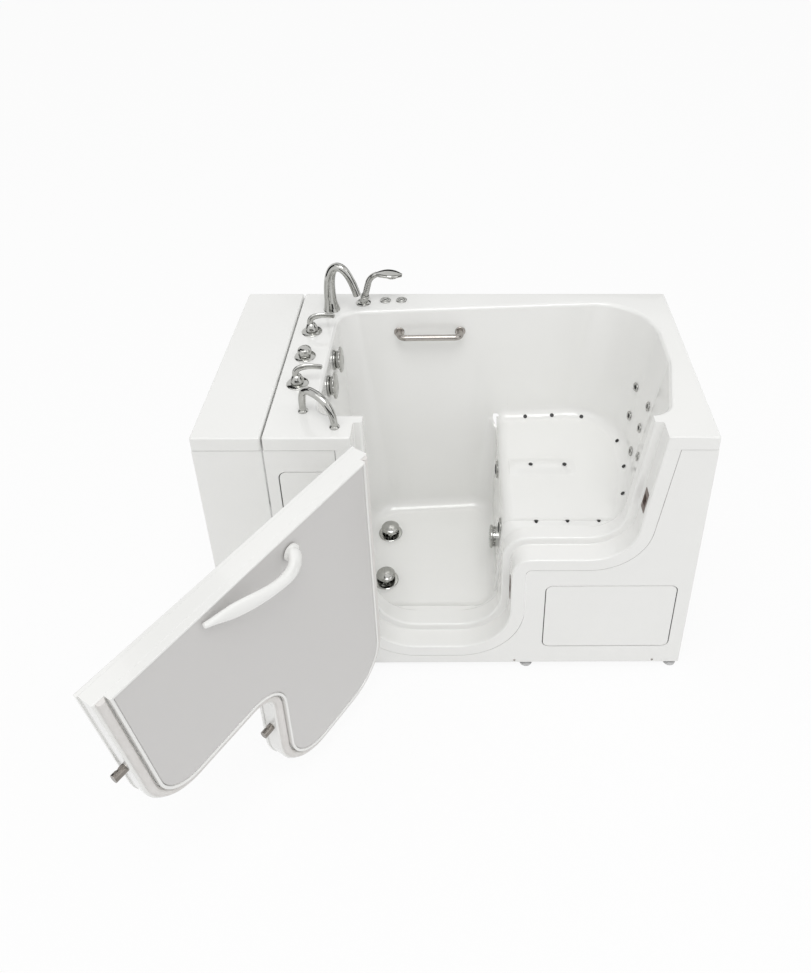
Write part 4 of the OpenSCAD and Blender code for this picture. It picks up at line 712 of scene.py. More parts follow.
shell = lipped_plate("tub_shell", EXTENSION + SEAM, LENGTH)
combine(shell, basin_body("outside", seat_circles, SEAT_H - SHELL, DECK_H - 3, SEAT_STEPS,
                          grow=SHELL, cove_steps=5), "UNION")
combine(shell, basin_body("outside", foot_circles, FLOOR_H - SHELL, SEAT_H + 60, FOOT_STEPS,
                          grow=SHELL, cove_steps=5), "UNION")
flared = [(0.8 + 2.5 * (1 - cos(a)), BAND - 2.5 * (1 - sin(a))) for a in quarter(3)] + [(SHELL - 0.7, BAND)]
for stations, high in ((flared, DECK_H - 16), ([(3, SHELL), (REBATE + SHELL, SHELL)], DECK_H - 3),
                       ([(REBATE + 1, -10), (BASIN_FRONT + 55, -10)], DECK_H - 3)):
    combine(shell, doorway_body("doorway_frame", stations, high), "UNION")
edge_side = 47
corner = [(RISER - 0.5, SEAT_H - edge_side), (RISER + edge_side, SEAT_H - edge_side),
          (RISER + edge_side, SEAT_H - 0.2), (RISER - 0.5, SEAT_H - 0.2)]
combine(shell, loft("edge_block", [[place(x, y, z) for x, z in corner]
                                   for y in (BASIN_FRONT + 5, back_at(RISER, SEAT_H) + 2)]), "UNION")
combine(shell, basin_body("seat_space", seat_circles, SEAT_H, 0, SEAT_STEPS, rim=RIM_ROUND), "DIFFERENCE")
combine(shell, basin_body("foot_space", foot_circles, FLOOR_H, SEAT_H + 78, FOOT_STEPS, grow=0.3),
        "DIFFERENCE")
print("shell so far:", len(shell.data.polygons), "faces")

# %% [markdown]
# The doorway steps down twice: a rounded outer edge, a rebate for the door and
# a narrower land for its seal, which rolls over into the basin. A cutter goes
# through all of these outlines from front to back.

# %% Cut the doorway
OUTER_ROUND, STEP_ROUND, INNER_ROUND, REBATE_COVE, EDGE_ROUND = 8.0, 7.0, 8.0, 5.0, 40.0


outer = [(-3.0, OUTER_ROUND)]
outer += [(OUTER_ROUND * (1 - cos(a)), OUTER_ROUND * (1 - sin(a))) for a in quarter(5)]
outer += [(REBATE - REBATE_COVE + REBATE_COVE * sin(a), -REBATE_COVE * (1 - cos(a))) for a in quarter(4)]
outer += [(REBATE + STEP_ROUND * (1 - cos(a)), -LAND + STEP_ROUND * (1 - sin(a))) for a in quarter(5)]
# Past the land: distance behind the front wall, how far the edge has rolled over,
# and how high the cut stays above the seat, so that it runs out into the cove
inner = [(-INNER_ROUND + INNER_ROUND * sin(a), INNER_ROUND * (1 - cos(a)), 3.0 + 1.2 * sin(a)) for a in quarter(4)]
inner += [(6, INNER_ROUND, 5.8), (12, INNER_ROUND, 7.6), (18, INNER_ROUND, 8.8), (30, INNER_ROUND, 13.0)]


# The outline's points that round the leg's right side, and then the nose
LEG_SIDE, NOSE_START, NOSE_END = 15, 30, 44


def inner_point(i, x, z, flat_x, flat_z, behind, above):
    """Keeps the cut off the riser and the seat, and blends it into their edge."""
    part = min(1, max(0, (behind + 4) / 34))
    if i > NOSE_END:
        return (x, max(z, SEAT_H + above))
    if i >= NOSE_START:
        a = pi / 2 * (i - NOSE_START) / (NOSE_END - NOSE_START)
        seat_x = RISER + EDGE_ROUND * (1 - cos(a)) - 0.6
        seat_z = SEAT_H - EDGE_ROUND * (1 - sin(a)) + 0.6 + 7.4 * (i - NOSE_START) / (NOSE_END - NOSE_START)
        return (flat_x + (seat_x - flat_x) * part, max(flat_z, 0) + (seat_z - flat_z) * part)
    if i >= LEG_SIDE and flat_x > RISER - 60:
        limit = riser_at(min(z, SEAT_H - EDGE_ROUND)) - 1.5
        near = min(x, flat_x)
        x = near + (min(limit, flat_x) - near) * part if flat_x > RISER - 3 else min(x, limit)
    return (x, max(z, FLOOR_H + 9.6))


def doorway_cutter():
    rings = [[place(x, y, z) for x, z in doorway(g, DECK_H + 6)] for y, g in outer]
    flat = doorway(-LAND, DECK_H + 6)
    for behind, rolled, above in inner:
        ring = []
        for i, ((x, z), (flat_x, flat_z)) in enumerate(zip(doorway(-LAND + rolled, DECK_H + 6), flat)):
            x, z = inner_point(i, x, z, flat_x, flat_z, behind, above)
            ring.append(place(x, BASIN_FRONT + (DECK_H - z) * tan(FRONT_SLOPE) + behind, z))
        rings.append(ring)
    return loft("doorway_cut", rings)


combine(shell, doorway_cutter(), "DIFFERENCE")
print("doorway cut:", len(shell.data.polygons), "faces")

# %% [markdown]
# The seat's front edge is rolled, so that it doesn't press on the legs. The
# cutter is the seat's own cross-section, with its coves, lowered along a
# quarter circle towards the footwell. A low mound runs along the seat.

# %% Roll the seat's edge and add its ridge
RIDGE_H, PAST_WALL = 12.0, 0.6
SEAT_MID_Y = (BASIN_FRONT + back_at(RISER + 188, SEAT_H)) / 2


def seat_section(x, floor_z):
    front = [(BASIN_FRONT - PAST_WALL + (DECK_H - z) * tan(FRONT_SLOPE) + COVE * (1 - sin(a)), z)
             for a, z in [(a, floor_z + COVE * (1 - cos(a))) for a in reversed(quarter(9))]]
    back = [(back_at(x, z) + PAST_WALL - COVE * (1 - sin(a)) / cos(BACK_TURN), z)
            for a, z in [(a, floor_z + COVE * (1 - cos(a))) for a in quarter(9)]]
    high = SEAT_H + 90
    ends = ([(BASIN_FRONT - PAST_WALL + (DECK_H - high) * tan(FRONT_SLOPE), high)],
            [(back_at(x, high) + PAST_WALL, high)])
    return [place(x, y, z) for y, z in ends[0] + front + back + ends[1]]


edge_rings = [seat_section(RISER - 32, SEAT_H - EDGE_ROUND)]
edge_rings += [seat_section(RISER + EDGE_ROUND * (1 - cos(a)), SEAT_H - EDGE_ROUND * (1 - sin(a)))
               for a in quarter(10)]
combine(shell, loft("edge_cut", edge_rings), "DIFFERENCE")


def ridge_section(x, height, half):
    across = [(-half + 2 * half * k / 16) for k in range(17)]
    crown = [(SEAT_MID_Y + y, SEAT_H - 0.6 + (height + 0.6) * cos(pi * y / half / 2) ** 2) for y in across]
    return [place(x, y, z) for y, z in crown + [(SEAT_MID_Y + half, SEAT_H - 3), (SEAT_MID_Y - half, SEAT_H - 3)]]


RIDGE_END = rest_x(SEAT_H) - 182
mound = [ridge_section(RISER + EDGE_ROUND - 6 + (RIDGE_END - RISER - EDGE_ROUND + 6) * k / 20,
                       RIDGE_H * min(1, (20 - k) / 5) ** 0.8 * min(1, (k + 1) / 3), 56)
         for k in range(21)]
combine(shell, loft("ridge", mound), "UNION")
print("ridge ends at", round(RIDGE_END), "mm")
# %% [markdown]
# Taps, drains and jets all need holes. A fitting on a leaning wall is easiest
# to place with a small frame of its own, whose Z axis points into the basin, so
# each wall gets a function that returns that frame.

# %% Frames on the walls
def about_x(a):
    return Matrix.Rotation(a, 4, "X")


def about_y(a):
    return Matrix.Rotation(a, 4, "Y")


def about_z(a):
    return Matrix.Rotation(a, 4, "Z")


def at(x, y, z):
    return Matrix.Translation((x, y, z))


def on_end_wall(y, z):
    return at(BASIN_LEFT + (DECK_H - z) * tan(FOOT_SLOPE), y, z) @ about_y(pi / 2 - FOOT_SLOPE)


def on_riser(y, z):
    return at(riser_at(z), y, z) @ about_y(FRONT_SLOPE - pi / 2)


def on_back_wall(x, z):
    return at(x, back_at(x, z), z) @ about_z(BACK_TURN) @ about_x(pi / 2 - BACK_SLOPE)


def rest_back_y(z):
    return in_back(rest_x(z) - ROUND_BR, ROUND_BR, z)[1]


def hip_turn(z):
    across = ROUND_MR - HIP_IN - ROUND_FR
    along = BASIN_FRONT + (DECK_H - z) * tan(FRONT_SLOPE) + ROUND_FR - BULGE_Y
    return math.atan2(along, across) + acos((ROUND_MR - ROUND_FR) / hypot(across, along))


def rest_turn(y, z):
    if y > rest_back_y(z):
        return asin((y - rest_back_y(z)) / ROUND_BR)
    return 0.0 if y > BULGE_Y else max(hip_turn(z), -asin(min(1, (BULGE_Y - y) / ROUND_MR)))


def on_rest(y, z):
    a = rest_turn(y, z)
    x = (rest_x(z) - ROUND_BR * (1 - cos(a)) if y > rest_back_y(z)
         else rest_x(z) - ROUND_MR + (ROUND_MR - min(0, y - BULGE_Y) * sin(a)) / cos(a))
    return at(x, y, z) @ about_z(a) @ about_y(REST_SLOPE - pi / 2)


BACK_JETS = [(y, SEAT_H + up) for y, up in ((430, 52), (427, 159), (420, 259), (549, 116), (572, 228), (330, 115))]
FOOT_JETS = [(202, SEAT_H - 85), (490, SEAT_H - 85)]
SUCTION = (390, FLOOR_H + 95)
print("first backrest jet at", [round(v) for v in on_rest(*BACK_JETS[0]).translation])

# %% [markdown]
# Round fittings are turned on a lathe. The same row-of-outlines helper does it,
# with circles whose radius and height follow the profile. A fitting that repeats
# is turned once and copied, and a cove jet gets its frame from its cove's centre.

# %% Turned bodies and the air jets' places
def turned(name, frame_at, profile, sides=48, closed=False):
    """A turned body from (radius, height) steps in a wall's own frame."""
    move = MILLIMETRES @ frame_at
    rings = [[move @ Vector((max(r, 0.02) * cos(2 * pi * k / sides), max(r, 0.02) * sin(2 * pi * k / sides), h))
              for k in range(sides)] for r, h in profile]
    return loft(name, rings, closed)


CORNER = Matrix.Identity(4)


def copies_at(piece, places):
    """Copies of a piece modelled at the tub's corner, each with a mesh of its own."""
    copies = []
    for place_at in places:
        twin = piece.copy()
        twin.data = piece.data.copy()
        scene.collection.objects.link(twin)
        twin.data.transform(MILLIMETRES @ place_at @ MILLIMETRES.inverted())
        copies.append(twin)
    bpy.data.objects.remove(piece, do_unlink=True)
    return copies


COVE_TILT = radians(35)
COVE_Z = SEAT_H + COVE * (1 - cos(COVE_TILT))
SEAT_L = rest_x(SEAT_H) - RISER
ROW_X = [RISER + 110 + k * (SEAT_L - 110 - 142) / 2 for k in range(3)]
MIDDLE_X = [ROW_X[0], RISER + EDGE_ROUND + SEAT_L - 222 - 45]


def back_cove(x):
    corner = in_back(rest_x(COVE_Z) - ROUND_BR, ROUND_BR, COVE_Z)
    if x < corner[0]:
        return (x, back_at(x, COVE_Z) - COVE / cos(BACK_TURN), pi / 2 + BACK_TURN)
    a = acos((x - corner[0]) / (ROUND_BR - COVE))
    return (x, corner[1] + (ROUND_BR - COVE) * sin(a), a)


def air_jet_places():
    front = BASIN_FRONT + (DECK_H - COVE_Z) * tan(FRONT_SLOPE) + COVE
    coves = [(x, front, -pi / 2) for x in ROW_X] + [back_cove(x) for x in ROW_X]
    rest_at_x, inner = rest_x(COVE_Z) - ROUND_MR, ROUND_MR - COVE
    coves.append((rest_at_x + inner, BULGE_Y, 0.0))
    corner = in_back(rest_x(COVE_Z) - ROUND_BR, ROUND_BR, COVE_Z)
    a = asin((BULGE_Y + 134 - corner[1]) / (ROUND_BR - COVE))
    coves.append((corner[0] + (ROUND_BR - COVE) * cos(a), BULGE_Y + 134, a))
    a = hip_turn(COVE_Z)
    coves.append((rest_at_x + inner * cos(a) + 110 * sin(a), BULGE_Y + inner * sin(a) - 110 * cos(a), a))
    places = [at(x, y, SEAT_H + COVE) @ about_z(a) @ about_y(-COVE_TILT) @ at(0, 0, -COVE) for x, y, a in coves]
    return places + [at(x, SEAT_MID_Y, SEAT_H + RIDGE_H) for x in MIDDLE_X]


AIR_JETS = air_jet_places()
print(len(AIR_JETS), "air jets")

# %% [markdown]
# All holes are drilled at once: the drills are joined into one object, which is
# then taken out of the shell.

# %% Drill the shell
TAP_X = BASIN_LEFT - 77
TAP_YS = (408 - 148, 408, 408 + 148)
SPOUT_AT = (BASIN_LEFT - 28, BACK_LEFT + 14)
SHOWER_AT = (SPOUT_AT[0] + 107, SPOUT_AT[1] + 44)
BUTTONS = [(SHOWER_AT[0] + 78, SHOWER_AT[1] + 16), (SHOWER_AT[0] + 136, SHOWER_AT[1] + 18)]
DRAIN_X = BASIN_LEFT + (DECK_H - FLOOR_H) * tan(FOOT_SLOPE) + COVE + 45
DRAIN_MID = (BASIN_FRONT + back_at(DRAIN_X, FLOOR_H)) / 2 + 12
DRAIN_YS = (DRAIN_MID - 114, DRAIN_MID + 114)
OVERFLOW_Z, OVERFLOW_YS = DECK_H - 61, (408 - 78, 408 + 67)
BOLT_Y, HIGH_BOLT, LOW_BOLT = 35.0, 740.0, 357.0


def drill(frame_at, r, low, high, sides=40):
    return turned("drill", frame_at, [(r, low), (r, high)], sides)


def pocket(frame_at, x0, x1, y, z):
    move = MILLIMETRES @ frame_at
    ring = [(-y, -z), (y, -z), (y, z), (-y, z)]
    return loft("pocket", [[move @ Vector((x, a, b)) for a, b in ring] for x in (x0, x1)])


SPOUT_PLACE, SHOWER_PLACE = at(*SPOUT_AT, DECK_H), at(*SHOWER_AT, DECK_H)
TAP_PLACES = [at(TAP_X, y, DECK_H) for y in TAP_YS]
BUTTON_PLACES = [at(*b, DECK_H) for b in BUTTONS]
DRAIN_PLACES = [at(DRAIN_X, y, FLOOR_H) for y in DRAIN_YS]
OVERFLOW_PLACES = [on_end_wall(y, OVERFLOW_Z) for y in OVERFLOW_YS]
FOOT_JET_PLACES = [on_riser(*j) for j in FOOT_JETS]
BACK_JET_PLACES = [on_rest(*j) for j in BACK_JETS]
STRIKES = [at(edge_x(HIGH_BOLT), BOLT_Y, HIGH_BOLT) @ about_y(LEAN), at(JAMB + LEG_W, BOLT_Y, LOW_BOLT)]
drills = [drill(on_riser(*SUCTION), 32, -30, 30)]
for r, low, high, sides, places in (
        (17, -20, 20, 40, TAP_PLACES + [SPOUT_PLACE]), (15, -20, 20, 40, BUTTON_PLACES + [SHOWER_PLACE]),
        (34, -30, 20, 64, DRAIN_PLACES), (25, -30, 30, 40, OVERFLOW_PLACES + FOOT_JET_PLACES),
        (12.3, -30, 30, 40, BACK_JET_PLACES), (5.5, -24, 8, 24, AIR_JETS)):
    drills += copies_at(drill(CORNER, r, low, high, sides), places)
drills += copies_at(pocket(CORNER, -8, 20, 14.8, 19.3), STRIKES)
combine(shell, joined("drills", drills), "DIFFERENCE")
print("drilled", len(drills), "holes")

# %% [markdown]
# The floor of the footwell and the seat have a fine non-slip texture: rows of
# small flat dots. They are too low to model, so the shell's acrylic gets them as a
# bump, but only up to about 12 mm above the footwell floor, so the seat stays plain.

# %% Acrylic of the shell, with its non-slip dots
def non_slip(material):
    tree = material.node_tree
    where = tree.nodes.new("ShaderNodeTexCoord")
    cells = tree.nodes.new("ShaderNodeTexVoronoi")
    cells.inputs["Scale"].default_value = 70
    cells.inputs["Randomness"].default_value = 0.15
    tree.links.new(where.outputs["Object"], cells.inputs["Vector"])
    dots = tree.nodes.new("ShaderNodeMapRange")
    dots.inputs["From Min"].default_value, dots.inputs["From Max"].default_value = 0.26, 0.36
    dots.inputs["To Min"].default_value, dots.inputs["To Max"].default_value = 1.0, 0.0
    tree.links.new(cells.outputs["Distance"], dots.inputs["Value"])
    parts = tree.nodes.new("ShaderNodeSeparateXYZ")
    tree.links.new(where.outputs["Object"], parts.inputs["Vector"])
    near = tree.nodes.new("ShaderNodeMapRange")
    near.inputs["From Min"].default_value = FLOOR_H / 1000 + 0.004
    near.inputs["From Max"].default_value = FLOOR_H / 1000 + 0.012
    near.inputs["To Min"].default_value, near.inputs["To Max"].default_value = 1.0, 0.0
    tree.links.new(parts.outputs["Z"], near.inputs["Value"])
    both = tree.nodes.new("ShaderNodeMath")
    both.operation = "MULTIPLY"
    tree.links.new(dots.outputs["Result"], both.inputs[0])
    tree.links.new(near.outputs["Result"], both.inputs[1])
    bump = next(node for node in tree.nodes if node.bl_idname == "ShaderNodeBump")
    relief = bump.inputs["Height"].links[0].from_socket
    total = tree.nodes.new("ShaderNodeMath")
    total.operation = "MULTIPLY_ADD"
    total.inputs[1].default_value = 4.0
    tree.links.new(both.outputs[0], total.inputs[0])
    tree.links.new(relief, total.inputs[2])
    tree.links.new(total.outputs[0], bump.inputs["Height"])


shell = finished(shell, "basin_shell", angle=42)
shell_acrylic = FINISH["acrylic"].copy()
shell_acrylic.name = "shell_acrylic"
non_slip(shell_acrylic)
shell.data.materials[0] = shell_acrylic
# %% [markdown]
# Flat acrylic panels close the front and the left end. Each is a slab cut to
# its outline, with its edges eased by a small bevel, as a router would leave
# them. The extension's deck is moulded, so it gets the rolled edge of the tub.

# %% Outer panels
APRON_Y, PANEL, RAIL_H = 2.0, 5.0, 28.0
LEFT_OPENING = (EXTENSION + 37, DECK_H - 458, JAMB - 67, DECK_H - 128)
RIGHT_OPENING = (JAMB + LEG_W + 112, THRESHOLD - 2, LENGTH - 45, SILL - 117)


def slab(name, outline, y0, y1):
    """A flat body from an outline in X and Z."""
    return loft(name, [[place(x, y, z) for x, z in outline] for y in (y0, y1)])


def block(name, low, high):
    corners = [(low[0], low[2]), (high[0], low[2]), (high[0], high[2]), (low[0], high[2])]
    return slab(name, corners, low[1], high[1])


def opening(x0, z0, x1, z1, r, steps=8):
    return rounded([(x0, z0), (x1, z0), (x1, z1), (x0, z1)], [r] * 4, steps)


apron_low, apron_high = RAIL_H - 8, DECK_H - LIP - 2
apron = block("apron", (EXTENSION + SEAM, APRON_Y, apron_low), (LENGTH, APRON_Y + PANEL, apron_high))
combine(apron, block("flange", (LENGTH - PANEL, APRON_Y + 0.01, apron_low),
                     (LENGTH, APRON_Y + 30, apron_high)), "UNION")
combine(apron, doorway_body("cut", [(-4, BAND + 1.5), (APRON_Y + 40, BAND + 1.5)], DECK_H + 10), "DIFFERENCE")
for p in (LEFT_OPENING, RIGHT_OPENING):
    combine(apron, slab("cut", opening(*p, 25), -4, 12), "DIFFERENCE")
finished(soften(apron, 1.2), "front_apron")

# A near-black ring behind each access panel paints dark shade into the seam round the panel.
seam_shade_rings = []
for name, p in (("left_access_panel", LEFT_OPENING), ("right_access_panel", RIGHT_OPENING)):
    face = [p[0] + SEAM, p[1] + SEAM, p[2] - SEAM, p[3] - SEAM]
    panel = slab(name + "_face", opening(*face, 22), APRON_Y, APRON_Y + PANEL)
    finished(soften(panel, 1.4), name)
    back = slab("seam_shade_ring", opening(p[0] - 6, p[1] - 6, p[2] + 6, p[3] + 6, 28), APRON_Y + PANEL + 0.2,
                APRON_Y + PANEL + 3)
    combine(back, slab("cut", opening(p[0] + 12, p[1] + 12, p[2] - 12, p[3] - 12, 16), 0, 14), "DIFFERENCE")
    seam_shade_rings.append(back)
seam_shade_ring = clean(joined("panel_seam_shade_rings", seam_shade_rings))
seam_shade_ring.data.materials.append(FINISH["dark_plastic"])
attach(seam_shade_ring, "tub")
print("gaskets:", len(seam_shade_ring.data.polygons), "faces")

# %% [markdown]
# The extension is a box beside the tub that fills the rest of the bath space. It
# has a deck with the same lip, a front and an end, all cut from acrylic sheet.

# %% The end extension
finished(lipped_plate("extension_deck", 0, EXTENSION - SEAM / 2), "extension_top")
corner_post = block("extension_corner", (0, APRON_Y, apron_low), (EXTENSION - SEAM / 2, APRON_Y + 30, apron_high))
combine(corner_post, block("cut", (PANEL, APRON_Y + PANEL, apron_low - 4), (EXTENSION + 4, 60, DECK_H)),
        "DIFFERENCE")
finished(soften(corner_post, 1.6), "extension_front")
end_panel = block("extension_end_panel", (0, APRON_Y + 30 + SEAM, apron_low), (25, DEPTH - APRON_Y, apron_high))
combine(end_panel, block("cut", (PANEL, -5, apron_low - 4), (40, DEPTH - APRON_Y - PANEL, DECK_H)),
        "DIFFERENCE")
finished(soften(end_panel, 1.6), "extension_end")

# %% [markdown]
# Three small screws hold the bottom of the apron. A screw head is turned, and
# its cross is cut with two crossed blades.

# %% Apron screws
def screw_head():
    head = turned("screw", CORNER, [(4.5, 0), (4.5, 0.3), (4.1, 0.9), (3.1, 1.6), (1.6, 2.0), (0, 2.1)], 24)
    for across, along in ((0.45, 2.6), (2.6, 0.45)):
        ring = [(-across, -along), (across, -along), (across, along), (-across, along)]
        blade = loft("blade", [[MILLIMETRES @ Vector((x, y, h)) for x, y in ring] for h in (1.1, 3)])
        combine(head, blade, "DIFFERENCE")
    return head


screw_places = [at(x, APRON_Y, RAIL_H + 2) @ about_x(pi / 2) for x in (EXTENSION + 117, JAMB + LEG_W + 22, LENGTH - 91)]
finished(joined("apron_screw_heads", copies_at(screw_head(), screw_places)), "apron_screws")
# %% [markdown]
# The door is drawn closed, in the doorway that it fills, and then turned open
# about its hinge by the same angle as in the CAD model. Its outer skin and its
# core are slabs whose edges are rolled by shrinking the outline at both faces.

# %% Door leaf
DOOR_GAP, CORE_GAP, SKIN, CORE = 5.0, 3.0, 12.0, 45.0
FACE_IN, FACE_Y = SKIN + CORE, SKIN + CORE + 18
HINGE_AT, OPEN_BY = (JAMB - 2, -17.0), radians(122.3)
DOOR = at(*HINGE_AT, 0) @ about_z(-OPEN_BY) @ at(-HINGE_AT[0], -HINGE_AT[1], 0)


def on_door(piece):
    piece.data.transform(MILLIMETRES @ DOOR @ MILLIMETRES.inverted())
    return piece


def door_slab(name, y0, y1, g, front, back, high=DECK_H):
    """A slab in the doorway's outline, with its two faces' edges rolled."""
    rings = [(y0 + front * (1 - cos(a)), front * (1 - sin(a))) for a in quarter(4)]
    rings += [(y1 - back * (1 - cos(a)), back * (1 - sin(a))) for a in reversed(quarter(4))]
    return loft(name, [[place(x, y, z) for x, z in doorway(g - less, high - less, 18)] for y, less in rings])


finished(on_door(door_slab("door_outer_skin", 0, SKIN, -DOOR_GAP, 4.0, 0.4)), "door_skin")
finished(on_door(door_slab("door_body", SKIN, FACE_IN, -DOOR_GAP - CORE_GAP, 0.3, 4.0, high=DECK_H - 0.4)),
         "door_core")

RIM_G, RIM_W = -(LAND + 10), 8.0
rim_section = [(FACE_IN - 6, 0), (FACE_Y - 3, 0), (FACE_Y - 0.9, -0.9), (FACE_Y, -3), (FACE_Y, 3 - RIM_W),
               (FACE_Y - 0.9, 0.9 - RIM_W), (FACE_Y - 3, -RIM_W), (FACE_IN - 6, -RIM_W)]
rim_rings = [[place(x, y, z) for x, z in doorway(RIM_G + g, DECK_H - 0.8 + g, 18)] for y, g in rim_section]
finished(on_door(loft("door_raised_rim", rim_rings, closed=True)), "door_rim")
panel_g = RIM_G - RIM_W - 0.3
finished(on_door(door_slab("door_inner_panel", FACE_IN, FACE_Y - 3, panel_g, 0.3, 2.5,
                           high=DECK_H - RIM_W - 0.3)), "door_panel")

# %% [markdown]
# The seal is a rubber strip. It is made like an extrusion: one rounded profile
# pushed along the door's edge, from the hinge side down and round to the free
# end, and left open along the top.

# %% Door seal
SEAL_G, SEAL_W = RIM_G + 2, 20.0
seal_profile = [(0, 0), (3.2, 0), (4.0, 1.2), (5.2, 2.0), (9.4, 3.2), (11.4, 5.6), (12.2, 9), (12.0, 12.5),
                (10.6, 16), (8.2, 18.4), (4.6, 19.6), (0, 20)]


def strip_along_door(name, profile, g0, y0, high):
    outlines = [doorway(g0 + out, high, 18) for _, out in profile]
    order = [len(outlines[0]) - 1] + list(range(len(outlines[0]) - 1))
    return loft(name, [[place(outline[i][0], y0 + up, outline[i][1])
                        for outline, (up, _) in zip(outlines, profile)] for i in order])


finished(on_door(strip_along_door("door_rubber_seal", seal_profile, SEAL_G, FACE_IN, DECK_H - 2)), "door_seal",
         angle=55)

# %% [markdown]
# The handle is a bow that turns on a spindle: thick at its pivot, thin and flat
# at its tip. A tube with a changing oval section follows two joined curves.

# %% Sweep an oval along a curve
def bezier(a, b, c, d, t):
    a, b, c, d = Vector(a), Vector(b), Vector(c), Vector(d)
    return (1 - t) ** 3 * a + 3 * (1 - t) ** 2 * t * b + 3 * (1 - t) * t * t * c + t ** 3 * d


def curve(a, b, c, d, steps, start=0):
    return [bezier(a, b, c, d, k / steps) for k in range(start, steps + 1)]


def sweep(name, frame_at, path, wide, tall, up=(0, 1, 0), sides=24, cap=0.0):
    """A tube along path; cap rounds both of its ends by that share of its width."""
    move = MILLIMETRES @ frame_at
    stations = [(p, (path[min(i + 1, len(path) - 1)] - path[max(i - 1, 0)]).normalized(), wide[i], tall[i])
                for i, p in enumerate(path)]
    if cap:
        first, last = stations[0], stations[-1]
        start = [(first[0] - first[1] * cap * first[2] * cos(a), first[1], first[2] * sin(a), first[3] * sin(a))
                 for a in (0.12, 0.45, 0.85, 1.2)]
        end = [(last[0] + last[1] * cap * last[2] * cos(a), last[1], last[2] * sin(a), last[3] * sin(a))
               for a in (1.2, 0.85, 0.45, 0.12)]
        stations = start + stations + end
    rings = []
    for p, t, w, h in stations:
        e1 = Vector(up).cross(t).normalized()
        e2 = t.cross(e1)
        rings.append([move @ (p + w * cos(a) * e1 + h * sin(a) * e2)
                      for a in (2 * pi * k / sides for k in range(sides))])
    return loft(name, rings)


HANDLE_X, HANDLE_Z = JAMB + DOOR_GAP + 345, DECK_H - 60
bow = curve((0, FACE_Y + 14, 0), (24, FACE_Y + 46, -14), (62, FACE_Y + 46, -16), (118, FACE_Y + 40, -10), 16)
bow += curve((118, FACE_Y + 40, -10), (170, FACE_Y + 34, -4), (230, FACE_Y + 16, 8), (285, FACE_Y + 7, 18), 16, 1)
share = [k / (len(bow) - 1) for k in range(len(bow))]
lift = [Vector((0, 0, 13 * t)) for t in share]
widths = [26 - 9 * min(1, t / 0.35) + 5 * sin(pi * min(1, max(0, (t - 0.4) / 0.6))) ** 2 - 10 * max(0, t - 0.8) / 0.2
          for t in share]
handle = sweep("door_lever", DOOR @ at(HANDLE_X, 0, HANDLE_Z), [p + up for p, up in zip(bow, lift)], widths,
               [17 - 9 * t for t in share], up=(0, 1, 0.05), sides=28, cap=0.5)
boss = turned("boss", DOOR @ at(HANDLE_X, 0, HANDLE_Z) @ about_x(-pi / 2),
              [(0, FACE_Y + 0.6), (23, FACE_Y + 0.6), (24, FACE_Y + 1.6), (24, FACE_Y + 9), (22.5, FACE_Y + 12),
               (19, FACE_Y + 14), (0, FACE_Y + 14.6)], 48)
combine(handle, boss, "UNION")
finished(handle, "door_handle", angle=60)

# %% [markdown]
# The latch bolts, their strikes and the hinges have the right shapes already in
# the CAD model. A copy of each is merged, its flat facets are dissolved and its
# edges eased, so that it shades like machined metal.

# %% Eased copies of CAD nodes
def eased_copy(node, width=0.0, angle=32, steps=2):
    source = frame["nodes"][node]
    bpy.ops.object.select_all(action="DESELECT")
    piece = source.copy()
    piece.data = source.data.copy()
    piece.name = node + "_eased"
    piece.parent = None
    piece.matrix_world = Matrix.Identity(4)
    scene.collection.objects.link(piece)
    piece.hide_render = piece.hide_viewport = False
    only(piece)
    bpy.ops.object.mode_set(mode="EDIT")
    bpy.ops.mesh.select_all(action="SELECT")
    bpy.ops.mesh.remove_doubles(threshold=0.00002)
    bpy.ops.mesh.dissolve_limited(angle_limit=radians(0.5))
    bpy.ops.object.mode_set(mode="OBJECT")
    if width:
        soften(piece, width, steps, angle)
    return finished(piece, node, angle=angle)


for node in ("bolt_strikes", "jamb_leaves", "door_leaves", "hinge_pins"):
    eased_copy(node, 0.6)
# The bolts are chrome. This darker copy of the chrome finish paints dark reflections into their colour.
DARKENED_CHROME = finish_of("bolt_chrome_painted_dark", (warm(0.2, 0.02), warm(0.26, 0.02)), (0.12, 0.2), size=60, metal=1,
                       grain=500, waves=40, share=0.6, relief=0.02)
for node in ("upper_bolt", "lower_bolt"):
    eased_copy(node, 1.0).data.materials[0] = DARKENED_CHROME
# %% [markdown]
# The taps stand on the deck. Flanges, hubs and the diverter are turned pieces
# whose profiles have small rounds at every edge, because chrome shows an edge
# as a bright line. The two levers are swept, like the door's handle.

# %% Tap flanges and levers
def ease(profile, r=0.7, steps=3):
    """A turned profile with its corners rounded."""
    out = [profile[0]]
    for before, here, after in zip(profile, profile[1:], profile[2:]):
        a, b = Vector(here) - Vector(before), Vector(after) - Vector(here)
        reach = min(r, a.length * 0.45, b.length * 0.45)
        if a.angle(b, 0) < 0.2 or reach < 0.05:
            out.append(here)
            continue
        start, end = Vector(here) - a.normalized() * reach, Vector(here) + b.normalized() * reach
        for k in range(steps + 1):
            t = k / steps
            out.append(tuple((1 - t) ** 2 * start + 2 * (1 - t) * t * Vector(here) + t * t * end))
    return out + [profile[-1]]


flange_profile = ease([(14, 0), (34.2, 0), (34.5, 1.6), (33, 3.2), (29, 4.6), (21, 6.4), (19, 7), (14, 7), (14, 0)])
flanges = copies_at(turned("flange", CORNER, flange_profile[:-1], 72, closed=True), TAP_PLACES)
finished(joined("deck_flanges", flanges), "tap_flanges", angle=50)


